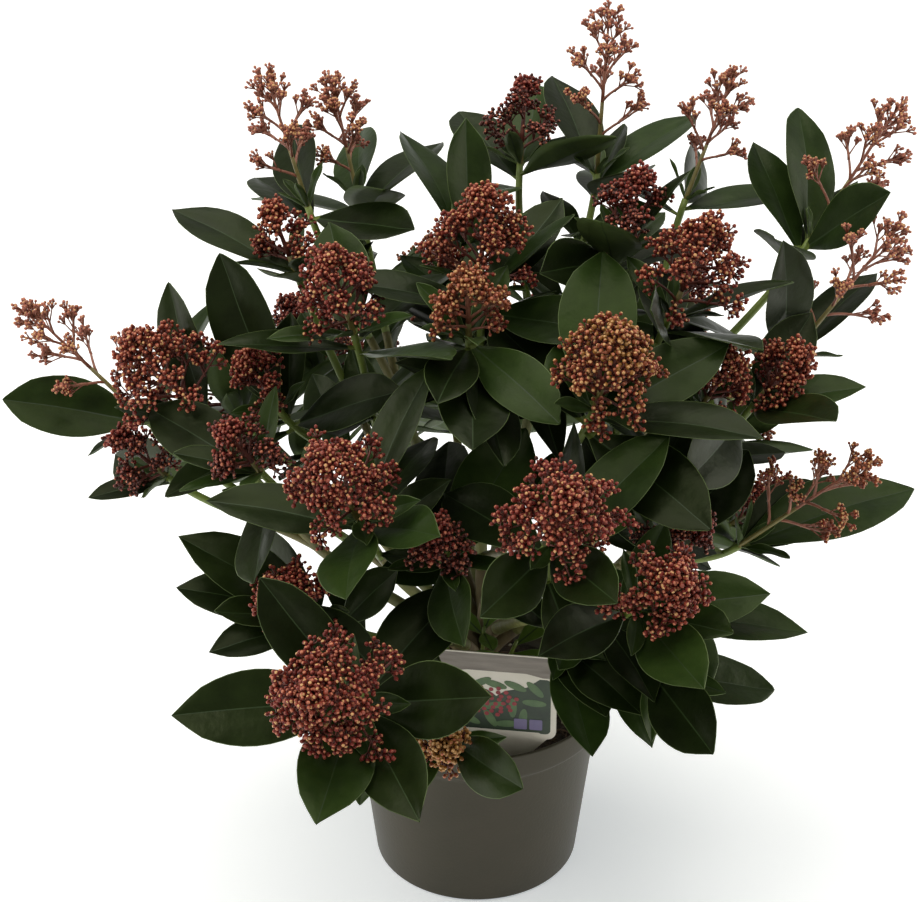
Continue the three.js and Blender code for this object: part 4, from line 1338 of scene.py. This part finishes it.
height, collar, wall = POT.height, POT.collar_radius, POT.wall
step_top = collar_foot + POT.collar_step
pot_profile = rounded([
    (0, 0, 0),
    (POT.base_radius + 0.2, 0, 1.7),
    (body_radius(collar_foot), collar_foot, 2.0),
    (collar - 1, step_top, 2.0),
    (collar - 0.1, height, 1.1),
    (collar - wall - 1.0, height, 1.0),
    (collar - wall - 2.5, step_top, 2.0),
    (body_radius(collar_foot) - wall, collar_foot, 2.0),
    (POT.base_radius - wall, POT.floor, 1.6),
    (0, POT.floor, 0),
])
POT_SHARP = 40
pot_batch = Batch()
pot_batch.add(*lathe(pot_profile, 160), 0)
pot = mesh_of("pot_shell", pot_batch.parts, [PLASTIC], POT_SHARP)
hole_batch = Batch()
for i in range(POT.holes):
    angle = (i + 0.5) / POT.holes * 2 * math.pi
    centre = np.array([math.cos(angle), math.sin(angle), 0]) * POT.hole_ring
    ends = [centre - UP * 6, centre + UP * 8]
    hole_batch.add(*tube(ends, [POT.hole_radius] * 2, 24), 0)
drills = mesh_of("drills", hole_batch.parts, [PLASTIC])
cut = pot.modifiers.new("holes", "BOOLEAN")
cut.operation = "DIFFERENCE"
cut.object = drills
cut.solver = "EXACT"
bpy.context.view_layer.update()
evaluated = pot.evaluated_get(bpy.context.evaluated_depsgraph_get())
pierced = bpy.data.meshes.new_from_object(evaluated)
pot.modifiers.clear()
pot.data = pierced
pierced.set_sharp_from_angle(angle=math.radians(POT_SHARP))
bpy.data.objects.remove(drills)
dress(pot, "pot", "pot")

# ---- compost
COMPOST_FINISHES = [
    finish("compost_peat", [(24, 17, 12), (44, 32, 23), (62, 47, 34)], (0.85, 0.95), 180, 2.0, 420),
    finish("compost_bark_bits", [(46, 32, 22), (84, 62, 42)], (0.8, 0.9), 160, 0.8, 500),
    finish("compost_grit", [(126, 118, 104), (158, 150, 136)], (0.8, 0.9), 200, 0.4, 700),
]
PEAT, CHIPS, PERLITE = range(3)
BITS = 620  # of bark and, every ninth, of grit
compost_random = np.random.default_rng(5)
edge = body_radius(collar_foot) - wall - 0.9
sides, loops = 120, 30  # of the surface, from its edge to its middle
lump = compost_random.uniform(-1, 1, (loops, sides))
for _ in range(2):
    lump = (lump + np.roll(lump, 1, 1) + np.roll(lump, -1, 1) + np.roll(lump, 1, 0)) / 2.6
# A body a little inside the pot's wall, and the surface over it.
profile = [(0, POT.floor + 0.3), (POT.base_radius - 4, POT.floor + 0.3),
           (edge - 2 - slope * 60, 40), (edge, collar_foot - 2)]
reach = np.linspace(edge, 2.5, loops)


def dip(r):
    """How much lower the compost lies at a radius."""
    return COMPOST.dip * max(0, (r - POT.base_radius) / (edge - POT.base_radius))


profile += [(r, compost_top - 0.8 - dip(r)) for r in reach] + [(0, compost_top - 0.6)]
points, faces = lathe(profile, sides)
grid = points[3 * sides : (3 + loops) * sides].reshape(loops, sides, 3)
grid[1:, :, 2] += lump[1:] * np.minimum(1, (reach[1:, None] - 1) / 30) * 0.8
compost_batch = Batch()
compost_batch.add(points, faces, PEAT)
for i in range(BITS):
    size = compost_random.uniform(0.8, 2.6)
    grit = i % 9 == 0
    r = math.sqrt(compost_random.uniform(0.02, 0.94)) * edge
    a = compost_random.uniform(0, 2 * math.pi)
    at = np.array([math.cos(a) * r, math.sin(a) * r, compost_top - 0.9 - dip(r)])
    way = unit(np.append(compost_random.uniform(-1, 1, 2), compost_random.uniform(-0.3, 0.3)))
    long = size * (0.7 if grit else compost_random.uniform(1.0, 2.2))
    line = [at - way * long, at - way * long * 0.4, at + way * long * 0.5, at + way * long]
    thick = np.array([0.45, 0.9, 0.8, 0.4]) * size * (0.8 if grit else 0.55)
    compost_batch.add(*tube(line, thick, 5), PERLITE if grit else CHIPS)
compost = mesh_of("compost_surface", compost_batch.parts, COMPOST_FINISHES, 50)
dress(compost, "compost", "compost")

# ---- plant label
LABEL_FINISHES = [
    finish(name, (low, high), (0.4, 0.5), scale, stretch=stretch or (1, 1, 1))
    for name, low, high, scale, stretch in (
        ("label_white_card", (196, 190, 176), (206, 200, 188), 60, None),
        ("label_taupe_band", (92, 84, 76), (128, 120, 110), 90, (0.25, 1, 2.4)),
        ("label_green_field", (24, 38, 24), (44, 62, 38), 70, None),
        ("label_red_print", (112, 24, 32), (142, 40, 46), 200, None),
        ("label_leaf_print", (60, 86, 50), (82, 106, 66), 120, None),
        ("label_mauve_print", (98, 90, 124), (108, 100, 134), 120, None),
    )
]
CARD, BAND, FIELD, BERRY, LEAFLET, MAUVE = range(6)


def on_card(x, y, lift):
    """A point of the card, from its foot's middle, in the row's frame."""
    z = lift - 1.2 * (x / (LABEL.width / 2)) ** 2 * 0.5  # bowed back at its sides
    c, s = cos_sin(90 + LABEL.lean)
    y, z = y * c - z * s, y * s + z * c
    c, s = cos_sin(LABEL.yaw)
    x, y = x * c - y * s, x * s + y * c
    return LABEL.x + x, LABEL.y + y, compost_top - LABEL.depth + z


def plate(outline, low, high):
    """A thin closed plate of the outline, cut into strips so that it follows the card's bow."""
    outline = np.array(outline, float)
    centre = outline.mean(axis=0)
    rings = [
        [on_card(x, y, lift) for x, y in centre + (outline - centre) * ring]
        for lift, ring in ((low, 0.5), (low, 1.0), (high, 1.0), (high, 0.5))
    ]
    middles = [on_card(*centre, lift) for lift in (low, high)]
    return np.concatenate(rings + [middles]), ring_faces(len(outline), len(rings))


def rounded_rectangle(x0, x1, y0, y1, corner, steps=6):
    line = []
    for x, y, start in ((x1, y1, 0), (x0, y1, 90), (x0, y0, 180), (x1, y0, 270)):
        cx = x - corner if x == x1 else x + corner
        cy = y - corner if y == y1 else y + corner
        for a in np.radians(np.linspace(start, start + 90, steps)):
            line.append((cx + corner * math.cos(a), cy + corner * math.sin(a)))
    return line


def oval(x, y, a, b, turn, steps=14):
    c, s = cos_sin(turn)
    return [(x + a * math.cos(t) * c - b * math.sin(t) * s,
             y + a * math.cos(t) * s + b * math.sin(t) * c) for t in ring_angles(steps)]


half, foot_half = LABEL.width / 2, LABEL.tongue / 2
shoulder, head_y = LABEL.shoulder, LABEL.height
front, layer = 0.3 * LABEL.thickness, 0.06
tongue = [(-foot_half, 0), (foot_half, 0), (foot_half, LABEL.tongue_height),
          (half - 3, shoulder + 3), (-half + 3, shoulder + 3),
          (-foot_half, LABEL.tongue_height)]
label_batch = Batch()
for outline, deep in (
    (rounded_rectangle(-half, half, shoulder, head_y, LABEL.corner), front),
    (tongue, 0.275 * LABEL.thickness),
):
    label_batch.add(*plate(outline, -deep, deep), CARD)


def print_on(outline, ink, under, over):
    """A print's flat shape, between two heights counted in layers of ink."""
    label_batch.add(*plate(outline, front + under * layer, front + over * layer), ink)


edge_x, low_y, high_y = half - 3.5, shoulder + 4, head_y - 17
print_on(rounded_rectangle(-half + 0.8, half - 0.8, high_y + 1, head_y - 0.8, 4), BAND, 0, 1)
print_on(rounded_rectangle(-edge_x, edge_x, low_y, high_y, 3), FIELD, 0, 1)
print_random = seeded(63)
for k in range(15):  # three rows of five leaves
    x = mix(-24, 20, (k % 5) / 4) + (print_random() - 0.5) * 8
    y = mix(low_y + 9, high_y - 8, (k // 5) / 2) + (print_random() - 0.5) * 6
    print_on(oval(x, y, 7.5, 2.6, print_random() * 180), LEAFLET, 1, 2)
dots = 46
for k in range(dots):  # a cluster of red dots, wound outwards
    spread = math.sqrt(k / dots)
    x = -6 + 20 * spread * math.cos(k * 2.4)
    y = (low_y + high_y) / 2 + 2 + 11 * spread * math.sin(k * 2.4)
    print_on(oval(x, y, 1.5, 1.5, 0, 10), BERRY, 2, 3 + k * 0.02)
for x in (11, 20.5):
    print_on(rounded_rectangle(x, x + 8, low_y + 3, low_y + 11, 0.8, 3), MAUVE, 4, 5)
dress(mesh_of("label_card", label_batch.parts, LABEL_FINISHES, 35), "label", "plant_label")

# ---- floor, light and camera
scene = bpy.context.scene
FLOOR = finish("studio_floor", [(248, 248, 247), (251, 251, 250)], (0.8, 0.9), 2)
floor_mesh = bpy.data.meshes.new("floor")
floor_mesh.from_pydata([(-9, -9, 0), (9, -9, 0), (9, 9, 0), (-9, 9, 0)], [], [(0, 1, 2, 3)])
floor_mesh.materials.append(FLOOR)
glow = FLOOR.node_tree.nodes["Principled BSDF"].inputs
glow["Emission Color"].default_value = (0.86, 0.93, 1, 1)
glow["Emission Strength"].default_value = 0.34
floor = bpy.data.objects.new("floor", floor_mesh)
scene.collection.objects.link(floor)
floor.location.z = -0.0004
floor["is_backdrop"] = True

scene.view_settings.view_transform = "Standard"
world = bpy.data.worlds.new("studio")
scene.world = world
world.use_nodes = True
sky = world.node_tree.nodes["Background"].inputs
sky["Color"].default_value = (1, 0.985, 0.94, 1)
sky["Strength"].default_value = 0.36


def aimed(name, data, location, target):
    """A lamp or a camera that looks at a place."""
    made = bpy.data.objects.new(name, data)
    made.location = location
    made.rotation_euler = (Vector(target) - Vector(location)).to_track_quat("-Z", "Y").to_euler()
    scene.collection.objects.link(made)
    return made


for name, location, target, size, power in (
    ("overhead", (0, 0.7, 2.6), (0, 0.7, 0), 3.0, 66),
    ("key", (-1.2, -1.2, 1.9), (0, 0, 0.25), 0.6, 12),
    ("left", (-1.8, 0.3, 0.7), (0, 0, 0.15), 1.2, 11),
    ("right", (1.8, 0.3, 0.7), (0, 0, 0.15), 1.2, 11),
):
    light = bpy.data.lights.new(name, "AREA")
    light.shape = "SQUARE"
    light.size = size
    light.energy = power
    light.color = (1, 0.975, 0.92)
    aimed(name, light, location, target)

camera_data = bpy.data.cameras.new("camera")
camera_data.lens = 90.0
camera_data.sensor_width = 36.0
camera = aimed("camera", camera_data, (-0.0104, -1.2233, 0.9759), (-0.0104, 0.0, 0.295))
scene.camera = camera

sizes = {
    "cad": [list(corner) for corner in CAD_BOX],
    "visual": [list(corner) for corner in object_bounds()],
}
